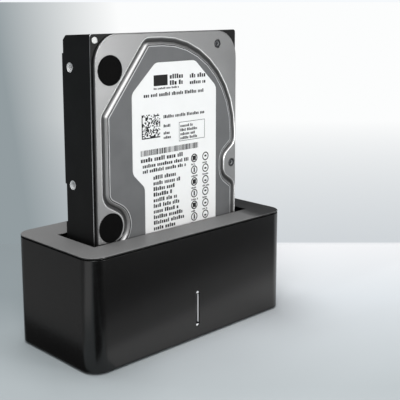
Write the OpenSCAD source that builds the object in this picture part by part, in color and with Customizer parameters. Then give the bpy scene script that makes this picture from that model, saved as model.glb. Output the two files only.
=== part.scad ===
// Docking station for one 3.5 inch hard drive, with the drive standing in its slot.
// X runs right along the front, Y to the back and Z up. The origin is on the table,
// under the middle of the dock. A drive's own places are u from its left side, v up
// from its connector end and t back from its label.

/* [Drive] */
// Width of the drive across its face
drive_w = 101.6; // [100:0.2:104]
// Thickness of the drive from its label to its mounting rails
drive_t = 26.1; // [25.6:0.1:27]
// Length of the drive from its connector end to its far end
drive_l = 147; // [146:0.5:150]
// Radius of the casting's corners
casting_r = 1.5; // [0.5:0.25:3]
// Height of the mounting rails over the casting's back
rail_h = 0.9; // [0.6:0.1:1.2]
// Width of each mounting rail
rail_w = 8; // [6:0.5:9]
// Length of each upper mounting rail
rail_l = 67; // [62:1:70]
// Distance of the upper rails from the drive's far end
rail_from_top = 10; // [6:0.5:14]
// Length of each lower mounting rail
rail_low_l = 45; // [42:1:50]
// Distance of the lower rails from the connector end
rail_low_v = 5; // [3:0.5:8]
// Radius of the tapped mounting holes
mount_hole_r = 1.4; // [1.3:0.05:1.6]
// Depth of the tapped mounting holes
mount_hole_l = 5; // [4:0.5:5.5]
// Radius of the bare spot face round each side hole
spot_r = 2.4; // [2:0.1:3]
// Depth of that spot face
spot_l = 0.3; // [0.2:0.1:0.5]
// Distance of the side holes from the rails' faces
side_hole_t = 6.35; // [6:0.05:7]
// Distance of the lowest side hole from the connector end
side_hole_v = 28.5; // [27:0.25:30]
// Step from the lowest side hole to the middle one
side_hole_step_1 = 41.6; // [40:0.2:43]
// Step from the middle side hole to the highest one
side_hole_step_2 = 60; // [59:0.2:61]
// Distance of the back holes from the drive's sides
back_hole_u = 3.2; // [3:0.1:4]
// Distance of the lower back holes from the connector end
back_hole_v = 41.3; // [40:0.1:43]
// Step between the back holes
back_hole_step = 44.4; // [43:0.1:46]
// Radius of the bright steel pin in the casting's upper left corner
corner_pin_r = 1.6; // [1.2:0.1:1.8]
// Distance of that pin from the drive's left side and far end
corner_pin_in = 3; // [2.5:0.1:3.4]
// Depth of that pin in the casting
corner_pin_l = 5; // [3:0.5:8]

/* [Drive cover] */
// Thickness of the cover at its flange
cover_sheet = 1.6; // [1.5:0.05:1.8]
// Height of the cover's raised middle over its flange
cover_rise = 0.4; // [0.3:0.05:0.6]
// Thickness of the cover's seal
gasket_t = 0.3; // [0.2:0.05:0.5]
// Distance of the cover's edge from the casting's edge
cover_in = 1.2; // [1:0.1:1.6]
// Radius of the cover's corners at the far end
cover_r_top = 15; // [12:0.5:16]
// Radius of the cover's corners at the connector end
cover_r_low = 6; // [4:0.5:8]
// Depth of the pressed channel below the flange
channel_depth = 0.9; // [0.7:0.05:1]
// Width of the channel from the flange to the raised middle
channel_w = 3.2; // [2.9:0.1:3.6]
// Width of the channel's outer slope
channel_slope = 1.5; // [1.2:0.1:1.7]
// Width of the channel's flat floor
channel_floor = 0.3; // [0.2:0.1:0.5]
// Distance of the channel from the drive's left side
channel_left = 4.3; // [4.2:0.1:5]
// Distance of the channel from the drive's right side
channel_right = 1.9; // [1.8:0.1:2.4]
// Distance of the channel from the far end
channel_top = 2.6; // [2.2:0.1:3.4]
// Distance of the channel from the connector end
channel_low = 3.6; // [3.2:0.2:5]
// Radius of the channel's corners at the connector end
channel_r_low = 22; // [20:0.5:24]
// Place along the width at which the slanted run meets the top run
slant_share_u = 0.325; // [0.3:0.005:0.35]
// Place along the length at which the slanted run meets the left run
slant_share_w = 0.272; // [0.26:0.002:0.28]
// Depth of the channel's bay round the side screw
bay_in = 8.8; // [8.2:0.1:9.6]
// Half height of that bay at the channel's straight run
bay_half_out = 11.5; // [11:0.25:13]
// Half height of that bay at its depth
bay_half_in = 5; // [4.5:0.25:6]
// Radius of that bay's corners
bay_r = 6; // [5:0.25:6.5]
// Gap between the lower seal disc and the channel's bay round it
disc_bay_gap = 0.7; // [0.4:0.1:1]
// Slant of the channel's runs into and out of that bay
disc_bay_slant = 30; // [24:1:36]
// Radius of the bends into and out of that bay
disc_bay_r_out = 9; // [7:0.25:10]
// Radius of the black seal discs
disc_r = 7.6; // [7:0.1:7.8]
// Thickness of the seal discs
disc_t = 0.2; // [0.1:0.05:0.3]
// Distance of the upper seal disc's middle from the drive's left side
disc_u = 10.5; // [10.2:0.1:10.8]
// Distance of the lower seal disc's middle from the drive's left side
disc_low_u = 9.4; // [9.3:0.1:9.8]
// Place of the upper seal disc along the length from the far end
disc_share_top = 0.122; // [0.118:0.001:0.125]
// Place of the lower seal disc along the length from the far end
disc_share_low = 0.663; // [0.66:0.001:0.67]
// Thickness of the grey damping foil
foil_t = 0.2; // [0.1:0.05:0.2]
// Rim of bare sheet between the channel and the foil
foil_rim = 1; // [0.6:0.1:1.2]
// Thickness of the paper label
label_t = 0.15; // [0.1:0.05:0.25]
// Distance of the label from the drive's left side
label_left = 23.5; // [23:0.25:26]
// Distance of the label from the drive's right side
label_right = 18; // [17:0.25:20]
// Distance of the label's top from the far end
label_top = 15.5; // [14:0.25:18]
// Place of the label's foot along the length from the far end
label_share_foot = 0.803; // [0.78:0.002:0.83]
// Width of the label's slanted upper corners
label_slant_u = 16; // [14:0.5:18]
// Height of the label's slanted upper corners
label_slant_v = 15; // [13:0.5:17]
// Step of the label's left side in its lower part
label_step = 8; // [6:0.5:9]
// Place of that step along the length from the far end
label_share_step = 0.517; // [0.49:0.002:0.54]
// Radius of the label's corners
label_r = 5; // [3:0.25:5.5]
// Distance of the upper cover screw from the drive's right side
screw_top_u = 16; // [14:0.5:17]
// Distance of the upper cover screw from the far end
screw_top_w = 7.4; // [7:0.1:8]
// Distance of the side and lower cover screws from the drive's sides
screw_side_u = 4.4; // [4.2:0.1:4.6]
// Place of the side cover screw along the length from the far end
screw_share_side = 0.514; // [0.51:0.002:0.524]
// Distance of the lower cover screws from the connector end
screw_low_v = 4.6; // [4.4:0.1:5]
// Radius of a cover screw's head
cover_screw_head_r = 2.3; // [2:0.1:2.4]
// Depth of the dimple that a cover screw's head sits in
cover_screw_dimple = 0.7; // [0.5:0.05:0.8]
// Radius of a cover screw's shank
cover_screw_r = 1.2; // [1:0.1:1.3]
// Length of a cover screw's shank
cover_screw_l = 7; // [5:0.5:9]

/* [Drive inside] */
// Wall of the casting above the discs, beyond the wall beside them
spindle_over = 0.2; // [0:0.1:1]
// Wall of the casting beside the discs
disc_wall = 2.6; // [2.4:0.1:3]
// Largest radius of the discs' chamber as a share of the drive's length
chamber_share = 0.328; // [0.326:0.001:0.34]
// Thickness of a disc
platter_t = 1.27; // [1:0.05:1.4]
// Gap between the two discs
platter_gap = 2; // [1.9:0.1:2.4]
// Gap between a disc's rim and the casting
platter_room = 0.8; // [0.5:0.1:1]
// Depth of the casting's chamber under the cover
chamber_t = 16.6; // [16:0.1:17]
// Distance of the chamber's end from the connector end
chamber_low = 11.5; // [11:0.25:13]
// Wall of the casting beside the chamber's lower part
chamber_side = 7; // [6:0.25:8]
// Radius of the spindle's hub
hub_r = 12.4; // [11:0.1:13]
// Width of the hub's flange, the spacer and the clamp
hub_flange = 3.4; // [2.5:0.1:4]
// Thickness of the hub's flange
hub_flange_t = 2.9; // [2.4:0.1:3]
// Gap between the hub and the chamber's floor
hub_gap = 0.6; // [0.4:0.1:0.8]
// Thickness of the clamp over the discs
clamp_t = 1.5; // [1.2:0.1:1.8]
// Radius of the motor's fixed shaft
shaft_r = 2.5; // [2:0.1:3]
// Radius of the motor's sleeve in the casting's floor
sleeve_r = 6; // [5:0.25:8]
// Radius of the motor's base plate on the drive's back
motor_base_r = 17; // [15:0.5:18]
// Thickness of the motor's base plate
motor_base_t = 1; // [0.8:0.1:1.2]
// Running clearance of shafts in their bores
run_gap = 0.05; // [0.03:0.01:0.08]
// Place of the actuator's pivot to the left of the spindle as a share of the drive's width
pivot_share = 0.205; // [0.2:0.005:0.22]
// Gap between the actuator's hub and the discs' rims
pivot_gap = 2; // [1.5:0.1:2.5]
// Radius of the pivot post
pivot_r = 4; // [3:0.25:4.5]
// Radius of the actuator's hub round the post
actuator_hub_r = 7.5; // [7:0.25:8]
// Length of an actuator arm as a share of the pivot's drop below the spindle
arm_share = 0.98; // [0.96:0.005:1]
// Thickness of an actuator arm
arm_t = 0.9; // [0.7:0.1:1]
// Half width of an arm at the pivot
arm_root = 5.5; // [4:0.25:6]
// Half width of an arm at its head
arm_tip = 1.6; // [1.2:0.1:2]
// Distance of the voice coil from the pivot
coil_near = 11; // [10.5:0.25:12]
// Room between the voice coil and the chamber's end
coil_room = 2; // [1.8:0.1:4]
// Half width of the voice coil at its near side
coil_half_near = 6; // [5:0.25:7]
// Half width of the voice coil at its far side
coil_half_far = 10; // [9:0.25:11]
// Width of the voice coil's winding as a share of its height
coil_share = 0.16; // [0.12:0.01:0.2]
// Thickness of the voice coil
coil_t = 2.4; // [1.8:0.1:2.6]
// Thickness of each magnet yoke
yoke_t = 2.4; // [2:0.1:2.6]
// Gap between the voice coil and each yoke
coil_gap = 1.2; // [0.8:0.1:1.4]
// Width of the magnet yokes
yoke_w = 44; // [42:0.5:46]
// Radius of the posts that hold the upper yoke
yoke_post_r = 1.8; // [1.5:0.1:2.2]

/* [Drive electronics] */
// Thickness of the drive's board
drive_board_t = 1.2; // [1:0.1:1.2]
// Distance of the drive's board from the drive's sides
drive_board_in = 10; // [9.5:0.25:12]
// Distance of the drive's board below the spindle
drive_board_drop = 10; // [7:0.5:12]
// Gap between the board and its recess in the casting
drive_board_gap = 0.4; // [0.3:0.1:0.6]
// Radius of the board screws' heads on the drive
drive_board_screw_r = 2.4; // [2:0.1:2.6]
// Distance of those screws from the board's edges
drive_board_screw_in = 4; // [3.6:0.2:5]
// Thickness of the chips on the drive's board
drive_chip_t = 1.5; // [1:0.1:1.8]
// Side of the drive's controller chip
controller_side = 18; // [14:0.5:22]
// Distance of the connector's middle from the drive's left side
plug_u = 33.4; // [33:0.1:34]
// Distance of the connector's middle from the rails' faces
plug_from_back = 3.5; // [3.4:0.05:3.6]
// Thickness of the drive's plug
plug_d = 5.4; // [5.2:0.1:5.6]
// Height of the drive's plug
plug_h = 8.6; // [8:0.1:9]
// Depth of the plug's sockets
plug_depth = 6; // [5.8:0.1:6.4]
// Width of the plug's power socket
plug_power_w = 23; // [22.6:0.1:23.6]
// Width of the plug's data socket
plug_data_w = 12.6; // [12.2:0.1:13]
// Wall between and beside the plug's sockets
plug_wall = 2.2; // [2:0.1:2.6]
// Thickness of the plug's sockets
plug_socket_d = 4; // [3.9:0.05:4.2]
// Thickness of the plug's tongues
tongue_d = 1.2; // [1:0.05:1.3]
// Distance of a tongue's ends from the socket's ends
tongue_in = 1.6; // [1.4:0.1:1.8]
// Distance of the tongues' tips below the plug's face
tongue_tip = 0.6; // [0.4:0.1:1]
// Length of the key leg at a tongue's end
key_leg = 0.8; // [0.6:0.05:0.8]
// Step between the connector's contacts
contact_step = 1.27; // [1.2:0.01:1.3]
// Width of a contact
contact_w = 0.6; // [0.4:0.05:0.8]
// Thickness of a contact on a tongue
contact_t = 0.1; // [0.05:0.01:0.15]

/* [Slot] */
// Gap between the drive and the slot's front edge, and between the drive and its guide ribs
drive_gap = 0.8; // [0.5:0.1:1.2]
// Spare length of the slot past the drive's left side
slot_spare_left = 2.6; // [2:0.2:3.4]
// Spare length of the slot past the drive's right side
slot_spare_w = 6.8; // [5:0.2:10]
// Spare depth of the slot behind the drive
slot_spare_d = 5; // [3:0.2:6]
// Gap left under the drive at its seat
seat_gap = 0.2; // [0.1:0.05:0.4]
// Bevel round the slot's upper edge
slot_bevel = 0.4; // [0.2:0.1:0.6]

/* [Housing] */
// Width of the top face to the left and right of the slot
side_margin = 14.5; // [14:0.25:20]
// Width of the top face in front of the slot
front_margin = 16.6; // [16:0.2:24]
// Width of the top face behind the slot
back_margin = 18.7; // [18.4:0.1:26]
// Height of the dock from the table to its top face
body_h = 59.5; // [59:0.5:64]
// Radius of the dock's upright corners
corner_r = 9; // [8.5:0.25:10]
// Wall of the housing sleeve
wall = 2.4; // [2.2:0.1:2.6]
// Height of the dark gap under the top cover's edge
seam_h = 0.6; // [0.4:0.1:1]
// Depth of that gap
seam_in = 1; // [0.6:0.1:1.2]
// Thickness of the top cover at its visible edge
top_edge = 0.8; // [0.6:0.1:1.2]
// Thickness of the top cover
top_t = 2; // [1.8:0.1:2.6]
// Bevel of the top cover's edge
top_bevel = 0.3; // [0.1:0.1:0.4]
// Depth of the top cover's lip inside the sleeve
lip_h = 4; // [3:0.25:6]
// Thickness of that lip
lip_t = 1.4; // [1.2:0.1:1.6]
// Clearance of pieces that fit inside the sleeve
fit_gap = 0.15; // [0.1:0.05:0.25]
// Thickness of the base plate
base_t = 2.5; // [2.4:0.1:3]
// Width of the ledge that the base plate bears on
ledge_w = 1.2; // [0.8:0.1:1.4]
// Height of that ledge
ledge_h = 1.5; // [1:0.1:1.6]
// Height of the feet below the base plate
foot_h = 1; // [0.8:0.1:1.4]
// Depth of the recess that a foot is glued in
foot_recess = 1; // [0.6:0.1:1.2]
// Radius of a foot
foot_r = 5.4; // [4.5:0.1:6]
// Radius of the top cover's four long posts
post_r = 3.6; // [3.2:0.1:3.8]
// Height of the base plate's screw bosses
base_boss_h = 2; // [1.8:0.1:2.2]
// Radius of the base plate's screw bosses
base_boss_r = 4.6; // [4.2:0.1:4.8]
// Radius of a base screw's shank
base_screw_r = 1.3; // [1.1:0.1:1.5]
// Length of a base screw's shank
base_screw_l = 11; // [8:0.5:14]
// Radius of a base screw's head
base_screw_head_r = 2.5; // [2.2:0.1:2.6]
// Height of a base screw's head
base_screw_head_h = 1.5; // [1.2:0.1:1.6]
// Clearance round screws and other loose fits
loose = 0.1; // [0.05:0.05:0.2]

/* [Drive bay] */
// Wall of the drive bay
bay_t = 1.8; // [1.6:0.1:2]
// Floor of the drive bay
bay_floor_t = 2; // [1.8:0.1:2.4]
// Width of a guide rib
rib_w = 3; // [2:0.25:4]
// Height of the slanted lead at a guide rib's top
rib_lead = 5; // [3:0.25:8]
// Distance of the guide ribs' tops below the top cover
rib_drop = 4; // [2:0.25:8]
// Radius of the bosses that carry the board
board_boss_r = 3; // [2.6:0.1:3.2]
// Reach of the bay's screw ears past its end walls
ear_l = 7; // [6.4:0.1:7.4]
// Width of a screw ear
ear_w = 7; // [6:0.25:8]
// Thickness of a screw ear
ear_t = 2; // [1.8:0.1:2.6]
// Distance of the screw ears from the bay's middle
ear_y = 9; // [8:0.25:10]
// Length of the top cover's short bosses over the ears
ear_boss_h = 6; // [5:0.25:8]
// Radius of the top cover's short bosses
ear_boss_r = 2.8; // [2.4:0.1:3]
// Radius of a small screw's shank
small_screw_r = 1; // [0.9:0.05:1.2]
// Length of a small screw's shank
small_screw_l = 6; // [5:0.25:6.5]
// Radius of a small screw's head
small_screw_head_r = 2; // [1.8:0.1:2.2]
// Height of a small screw's head
small_screw_head_h = 1.3; // [1:0.1:1.4]

/* [Board] */
// Thickness of the dock's board
board_t = 1.6; // [1.4:0.1:1.8]
// Height of the board over the base plate
board_lift = 2.9; // [2.6:0.1:4]
// Gap between the board and the posts and rear wall
board_gap = 0.6; // [0.4:0.1:0.8]
// Distance of the board from the front wall
board_front = 2.6; // [2.4:0.1:3.4]
// Height of the connector's body over the board
sata_h = 8.8; // [8.6:0.1:9]
// Thickness of the connector's body
sata_d = 6.2; // [6:0.1:7]
// Length of the connector's body past its outer noses
sata_over = 3.4; // [2.6:0.1:4]
// Height of the connector's noses
nose_h = 5.2; // [5:0.1:5.4]
// Clearance between the drive's plug and the connector
mate_gap = 0.3; // [0.2:0.05:0.35]
// Length of a contact's solder tail
tail_l = 1.6; // [1.2:0.1:2]
// Thickness of a solder tail
tail_t = 0.25; // [0.2:0.05:0.4]
// Width of the rib that holds the board up under the connector
support_w = 3; // [2:0.25:5]
// Length of that rib
support_l = 8; // [6:0.5:12]
// Distance of those ribs from the connector's middle
support_x = 14; // [10:0.5:18]
// Side of the bridge chip
chip_side = 10; // [8:0.5:12]
// Thickness of the bridge chip
chip_t = 1.2; // [1:0.1:1.6]
// Radius of a capacitor
cap_r = 3.1; // [2.5:0.1:3.3]
// Height of a capacitor
cap_h = 6.2; // [5:0.1:6.4]
// Step between the capacitors
cap_step = 8; // [7:0.25:10]
// Side of the power inductor
coil_side = 10; // [8:0.5:12]
// Height of the power inductor
inductor_h = 4.4; // [3:0.2:5.5]
// Length of the crystal's can
crystal_l = 11; // [9:0.25:12]
// Width of the crystal's can
crystal_w = 4.6; // [4:0.1:5]
// Height of the crystal's can
crystal_h = 3.5; // [2.5:0.1:4]
// Distance of the front row of parts from the board's front edge
front_row = 6; // [5.2:0.2:6.6]

/* [Indicator] */
// Width of the light slit in the front
slit_w = 2.4; // [2:0.1:3]
// Height of the light slit
slit_h = 19.8; // [16:0.2:24]
// Distance of the slit's lower end below the board's upper face
slit_drop = 0.8; // [0.6:0.1:1.2]
// Depth of the light pipe's face below the front
slit_recess = 0.5; // [0.3:0.1:1]
// Clearance of the light pipe in the slit
pipe_gap = 0.1; // [0.05:0.05:0.15]
// Rim of the light pipe's flange round the slit
pipe_rim = 1.8; // [1.4:0.1:1.9]
// Thickness of the light pipe's flange
pipe_flange = 1.4; // [1:0.1:1.6]
// Width of the indicator lamp
lamp_w = 3.2; // [2:0.1:4]
// Depth and height of the indicator lamp
lamp_h = 1.5; // [1:0.1:2]

/* [Rear ports] */
// Depth of the recessed field round the ports
field_in = 1; // [0.8:0.1:1.2]
// Rim of that field round the ports
field_rim = 4; // [3:0.25:5]
// Radius of that field's corners
field_r = 2.5; // [1.5:0.25:3]
// Clearance of the ports in their windows
port_gap = 0.3; // [0.2:0.05:0.4]
// Place of the data port across the back
usb_x = 22; // [20:0.5:26]
// Width of the data port's shell
usb_w = 12; // [11.6:0.1:12.6]
// Height of the data port's shell
usb_h = 12.6; // [12:0.1:13]
// Depth of the data port's shell
usb_d = 15; // [14:0.1:15.2]
// Sheet of the data port's shell
usb_sheet = 0.4; // [0.3:0.05:0.5]
// Depth of the data port's socket
usb_socket = 10; // [8:0.25:11]
// Width of the socket's lower part
usb_low_w = 8.6; // [8.4:0.1:9]
// Height of the socket's lower part
usb_low_h = 5.4; // [5:0.1:6]
// Width of the socket's upper part
usb_up_w = 6; // [5.6:0.1:6.4]
// Height of the socket's upper part
usb_up_h = 3.6; // [3.2:0.1:4]
// Thickness of the socket's two tongues
usb_tongue = 1.6; // [1.2:0.1:1.8]
// Rim between the socket's lower part and the shell's floor
usb_rim = 1.2; // [1:0.1:1.4]
// Place of the power inlet across the back
jack_x = 2; // [0:0.5:5]
// Width of the power inlet's body
jack_w = 9; // [8.6:0.1:9.6]
// Height of the power inlet's body
jack_h = 10.6; // [10.4:0.1:11.4]
// Depth of the power inlet's body behind the wall
jack_d = 12.6; // [11:0.2:13]
// Radius of the power inlet's nose
jack_nose_r = 4.1; // [3.8:0.1:4.3]
// Radius of the power inlet's bore
jack_bore_r = 3.15; // [3:0.05:3.3]
// Depth of the power inlet's bore
jack_bore_l = 9.5; // [8:0.25:11]
// Radius of the power inlet's centre pin
jack_pin_r = 1.05; // [0.9:0.05:1.3]
// Distance of the pin's tip below the nose's face
jack_pin_in = 1; // [0.5:0.1:2]
// Height of the power inlet's axis over the board
jack_axis = 6; // [5.6:0.1:6.2]
// Place of the power switch across the back
switch_x = -20; // [-26:0.5:-17]
// Depth of the power switch's body
switch_d = 11; // [10:0.2:14]
// Wall of the power switch's body
switch_wall = 1.2; // [1:0.1:1.5]
// Depth of the switch's opening
switch_open_d = 6.6; // [6.2:0.1:7.5]
// Width of the rocker
rocker_w = 11.2; // [10:0.1:12]
// Height of the rocker
rocker_h = 7; // [6:0.1:8]
// Gap between the rocker and its opening
rocker_gap = 0.8; // [0.75:0.05:1]
// Gap between the rocker's ends and its opening along the axle
switch_side_gap = 0.2; // [0.15:0.05:0.3]
// Depth of the rocker's axle below the switch's face
rocker_axle_in = 3; // [2.8:0.1:3.2]
// Radius of the rocker's axle
rocker_axle_r = 0.9; // [0.7:0.05:1]
// Reach of the axle into the switch's walls
rocker_axle_reach = 0.8; // [0.5:0.05:0.9]
// Tilt of the rocker to either side
rocker_tilt = 9; // [7:0.5:9]
// Height of the rocker's ends over the switch's face when level
rocker_proud = 0.75; // [0.6:0.05:0.8]
// Depth of the rocker's middle below its ends
rocker_dip = 1.05; // [0.8:0.05:1.2]

/* [Hidden] */
$fn = 64;
cut = 0.5;
hair = 0.1;

// Slot and dock, worked out from the drive
slot_w = slot_spare_left + drive_w + slot_spare_w;
slot_d = drive_t + drive_gap + slot_spare_d;
body_w = slot_w + 2 * side_margin;
body_d = slot_d + front_margin + back_margin;
slot_x0 = -body_w / 2 + side_margin;
slot_y0 = -body_d / 2 + front_margin;
drive_x = slot_x0 + slot_spare_left;
drive_y = slot_y0 + drive_gap;

// Heights of the dock's layers
base_z = foot_h;
base_top = base_z + base_t;
rim_z = body_h - top_edge;
top_under = body_h - top_t;
board_under = base_top + board_lift;
board_top = board_under + board_t;
drive_z = board_top + sata_h + mate_gap;
bay_under = drive_z - seat_gap - bay_floor_t;
screw_seat_z = base_z + foot_recess + base_boss_h;
post_under = base_top + base_boss_h;

// Dock outlines and the places of its posts and screws
inner_w = body_w - 2 * wall;
inner_d = body_d - 2 * wall;
inner_r = corner_r - wall;
front_in = -body_d / 2 + wall;
rear_in = body_d / 2 - wall;
field_y = body_d / 2 - field_in;
post_x = body_w / 2 - corner_r;
post_y = body_d / 2 - corner_r;
corner_places = [for (sx = [-1, 1]) for (sy = [-1, 1]) [sx * post_x, sy * post_y]];
bay_x0 = slot_x0 - bay_t;
bay_y0 = slot_y0 - bay_t;
bay_w = slot_w + 2 * bay_t;
bay_d = slot_d + 2 * bay_t;
bay_mid_y = bay_y0 + bay_d / 2;
bay_x1 = bay_x0 + bay_w;
bay_y1 = bay_y0 + bay_d;
board_boss_places = [for (x = [bay_x0 + board_boss_r, bay_x1 - board_boss_r])
    for (y = [bay_y0 + board_boss_r, bay_y1 - board_boss_r]) [x, y]];
ear_hole_in = ear_l / 2;
ear_places = [for (x = [bay_x0 - ear_hole_in, bay_x1 + ear_hole_in])
    for (s = [-1, 1]) [x, bay_mid_y + s * ear_y]];
ear_z = top_under - ear_boss_h - ear_t;
rib_top = top_under - rib_drop;
rib_back = slot_spare_d - drive_gap;
rib_left = slot_spare_left - drive_gap;
rib_right = slot_spare_w - drive_gap;
board_x1 = post_x - post_r - board_gap;
board_y0 = front_in + board_front;
board_y1 = rear_in - board_gap;

// Connector between the board and the drive
plug_t = drive_t - plug_from_back;
plug_w = plug_power_w + plug_data_w + 3 * plug_wall;
conn_x = drive_x + plug_u;
conn_y = drive_y + plug_t;
power_x = -plug_w / 2 + plug_wall + plug_power_w / 2;
data_x = plug_w / 2 - plug_wall - plug_data_w / 2;
sockets = [[power_x, plug_power_w, 15], [data_x, plug_data_w, 7]];
sata_w = plug_w - 2 * plug_wall + 2 * sata_over;

// Light slit and rear ports
slit_z0 = board_top - slit_drop;
slit_z1 = slit_z0 + slit_h;
jack_z = board_top + jack_axis;
switch_open_w = rocker_w + 2 * rocker_gap;
switch_open_h = rocker_h + 2 * switch_side_gap;
switch_w = switch_open_w + 2 * switch_wall;
switch_h = switch_open_h + 2 * switch_wall;
switch_z = board_top + switch_h / 2;
axle_y = field_y - rocker_axle_in;
field_x0 = switch_x - switch_w / 2 - field_rim;
field_x1 = usb_x + usb_w / 2 + field_rim;
field_z0 = board_top - field_rim / 2;
field_z1 = board_top + usb_h + field_rim;

// Layers of the drive, back from its label
foil_face = label_t;
cover_face = label_t + foil_t;
cover_flange = cover_face + cover_rise;
cover_back = cover_flange + cover_sheet;
casting_face = cover_back + gasket_t;
casting_back = drive_t - rail_h;
chamber_floor = casting_face + chamber_t;
spindle_u = drive_w / 2;
chamber_r = min(drive_w / 2 - disc_wall, chamber_share * drive_l);
spindle_v = drive_l - chamber_r - disc_wall - spindle_over;
platter_r = chamber_r - platter_room;
pivot_left = pivot_share * drive_w;
pivot_reach = platter_r + actuator_hub_r + pivot_gap;
pivot_drop = sqrt(pivot_reach * pivot_reach - pivot_left * pivot_left);
pivot_u = spindle_u - pivot_left;
pivot_v = spindle_v - pivot_drop;
arm_l = arm_share * pivot_drop;
drive_board_top = spindle_v - drive_board_drop;
slant_u = slant_share_u * drive_w;
slant_w = slant_share_w * drive_l;
disc_w_top = disc_share_top * drive_l;
disc_w_low = disc_share_low * drive_l;
label_foot = label_share_foot * drive_l;
label_step_w = label_share_step * drive_l;
screw_side_w = screw_share_side * drive_l;
board_seat = casting_back - hair - drive_board_t;
side_hole_places = [for (d = [0, side_hole_step_1, side_hole_step_1 + side_hole_step_2]) side_hole_v + d];
back_hole_places = [for (u = [back_hole_u, drive_w - back_hole_u])
    for (v = [back_hole_v, back_hole_v + back_hole_step]) [u, v]];
rail_spans = [[drive_l - rail_from_top - rail_l, rail_l], [rail_low_v, rail_low_l]];
disc_places = [[disc_u, drive_l - disc_w_top], [disc_low_u, drive_l - disc_w_low]];
cover_screw_places = concat(disc_places, [
    [drive_w - screw_top_u, drive_l - screw_top_w],
    [drive_w - screw_side_u, drive_l - screw_side_w],
    [screw_side_u, screw_low_v],
    [drive_w - screw_side_u, screw_low_v],
]);
drive_board_screw_places = [
    for (u = [drive_board_in + drive_board_screw_in, drive_w - drive_board_in - drive_board_screw_in])
    for (v = [plug_h + drive_board_screw_in * 2, drive_board_top - drive_board_screw_in]) [u, v]];

// Discs and arms inside the drive, back from the chamber's floor
hub_back = chamber_floor - hub_gap;
flange_face = hub_back - hub_flange_t;
platter_2 = flange_face - platter_t;
spacer_face = platter_2 - platter_gap;
platter_1 = spacer_face - platter_t;
arm_clear = (platter_gap - arm_t) / 2;
arm_faces = [platter_1 - arm_clear - arm_t, spacer_face + arm_clear, flange_face + arm_clear];
coil_h = pivot_v - chamber_low - coil_near - coil_room;
coil_wind = coil_share * coil_h;
coil_face = chamber_floor - yoke_t - coil_gap - coil_t;
yoke_face = coil_face - coil_gap - yoke_t;

// Corners of the drive cover's outlines as u, v and radius, counter-clockwise
cover_corners = [
    [cover_in, cover_in, cover_r_low],
    [drive_w - cover_in, cover_in, cover_r_low],
    [drive_w - cover_in, drive_l - hair, cover_r_top],
    [cover_in, drive_l - hair, cover_r_top],
];
channel_u1 = drive_w - channel_right;
channel_v1 = drive_l - channel_top;
channel_r_big = min(channel_u1 - slant_u - bay_r, screw_side_w - bay_half_out - bay_r - channel_top);
screw_bay_v = drive_l - screw_side_w;
disc_bay_r = disc_r + disc_bay_gap;
disc_bay_u = disc_low_u + disc_bay_r;
disc_bay_v = drive_l - disc_w_low;
disc_bay_half = disc_bay_r * tan((90 - disc_bay_slant) / 2) + hair;
disc_bay_out = disc_bay_half + (disc_bay_u - channel_left) * tan(disc_bay_slant);
channel_corners = [
    [channel_left, channel_low, channel_r_low],
    [channel_u1, channel_low, channel_r_low],
    [channel_u1, screw_bay_v - bay_half_out, bay_r],
    [channel_u1 - bay_in, screw_bay_v - bay_half_in, bay_r],
    [channel_u1 - bay_in, screw_bay_v + bay_half_in, bay_r],
    [channel_u1, screw_bay_v + bay_half_out, bay_r],
    [channel_u1, channel_v1, channel_r_big],
    [slant_u, channel_v1, bay_r],
    [channel_left, drive_l - slant_w, bay_r],
    [channel_left, disc_bay_v + disc_bay_out, disc_bay_r_out],
    [disc_bay_u, disc_bay_v + disc_bay_half, disc_bay_r],
    [disc_bay_u, disc_bay_v - disc_bay_half, disc_bay_r],
    [channel_left, disc_bay_v - disc_bay_out, disc_bay_r_out],
];
label_u1 = drive_w - label_right;
label_v1 = drive_l - label_top;
label_corners = [
    [label_left + label_step, drive_l - label_foot, label_r],
    [label_u1, drive_l - label_foot, label_r],
    [label_u1, label_v1 - label_slant_v, label_r],
    [label_u1 - label_slant_u, label_v1, label_r],
    [label_left + label_slant_u, label_v1, label_r],
    [label_left, label_v1 - label_slant_v, label_r],
    [label_left, drive_l - label_step_w + label_step / 2, label_r],
    [label_left + label_step, drive_l - label_step_w - label_step / 2, label_r],
];

// One corner of an outline as points on its arc, moved inwards by inset
function unit(v) = v / norm(v);
function left_of(v) = [-v.y, v.x];
function turned(v, a) = [v.x * cos(a) - v.y * sin(a), v.x * sin(a) + v.y * cos(a)];
function corner_arc(before, at, after, radius, inset) =
    let (d1 = unit(at - before))
    let (d2 = unit(after - at))
    let (n1 = left_of(d1))
    let (n2 = left_of(d2))
    let (side = sign(d1.x * d2.y - d1.y * d2.x))
    let (bend = acos(d1 * d2))
    let (r = radius - side * inset)
    let (p = at + inset * (n1 + n2) / (1 + n1 * n2))
    let (start = p - d1 * r * tan(bend / 2))
    let (centre = start + side * r * n1)
    let (steps = max(3, ceil(bend / 10)))
    [for (k = [0:steps]) centre + turned(start - centre, side * bend * k / steps)];

// A closed outline from its corners, moved inwards by inset
function flat(corner) = [corner[0], corner[1]];
function outline(corners, inset = 0) =
    let (n = len(corners))
    [for (i = [0:n - 1]) each corner_arc(flat(corners[(i + n - 1) % n]), flat(corners[i]),
        flat(corners[(i + 1) % n]), corners[i][2], inset)];

// A rectangle with round corners, about its middle
module round_rect(w, d, r) {
    square([w - 2 * r, d], center = true);
    square([w, d - 2 * r], center = true);
    for (x = [-1, 1]) for (y = [-1, 1])
        translate([x * (w / 2 - r), y * (d / 2 - r)]) circle(r);
}

// A round cornered slab standing on z
module slab(w, d, r, z, h) {
    translate([0, 0, z]) linear_extrude(h) round_rect(w, d, r);
}

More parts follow.
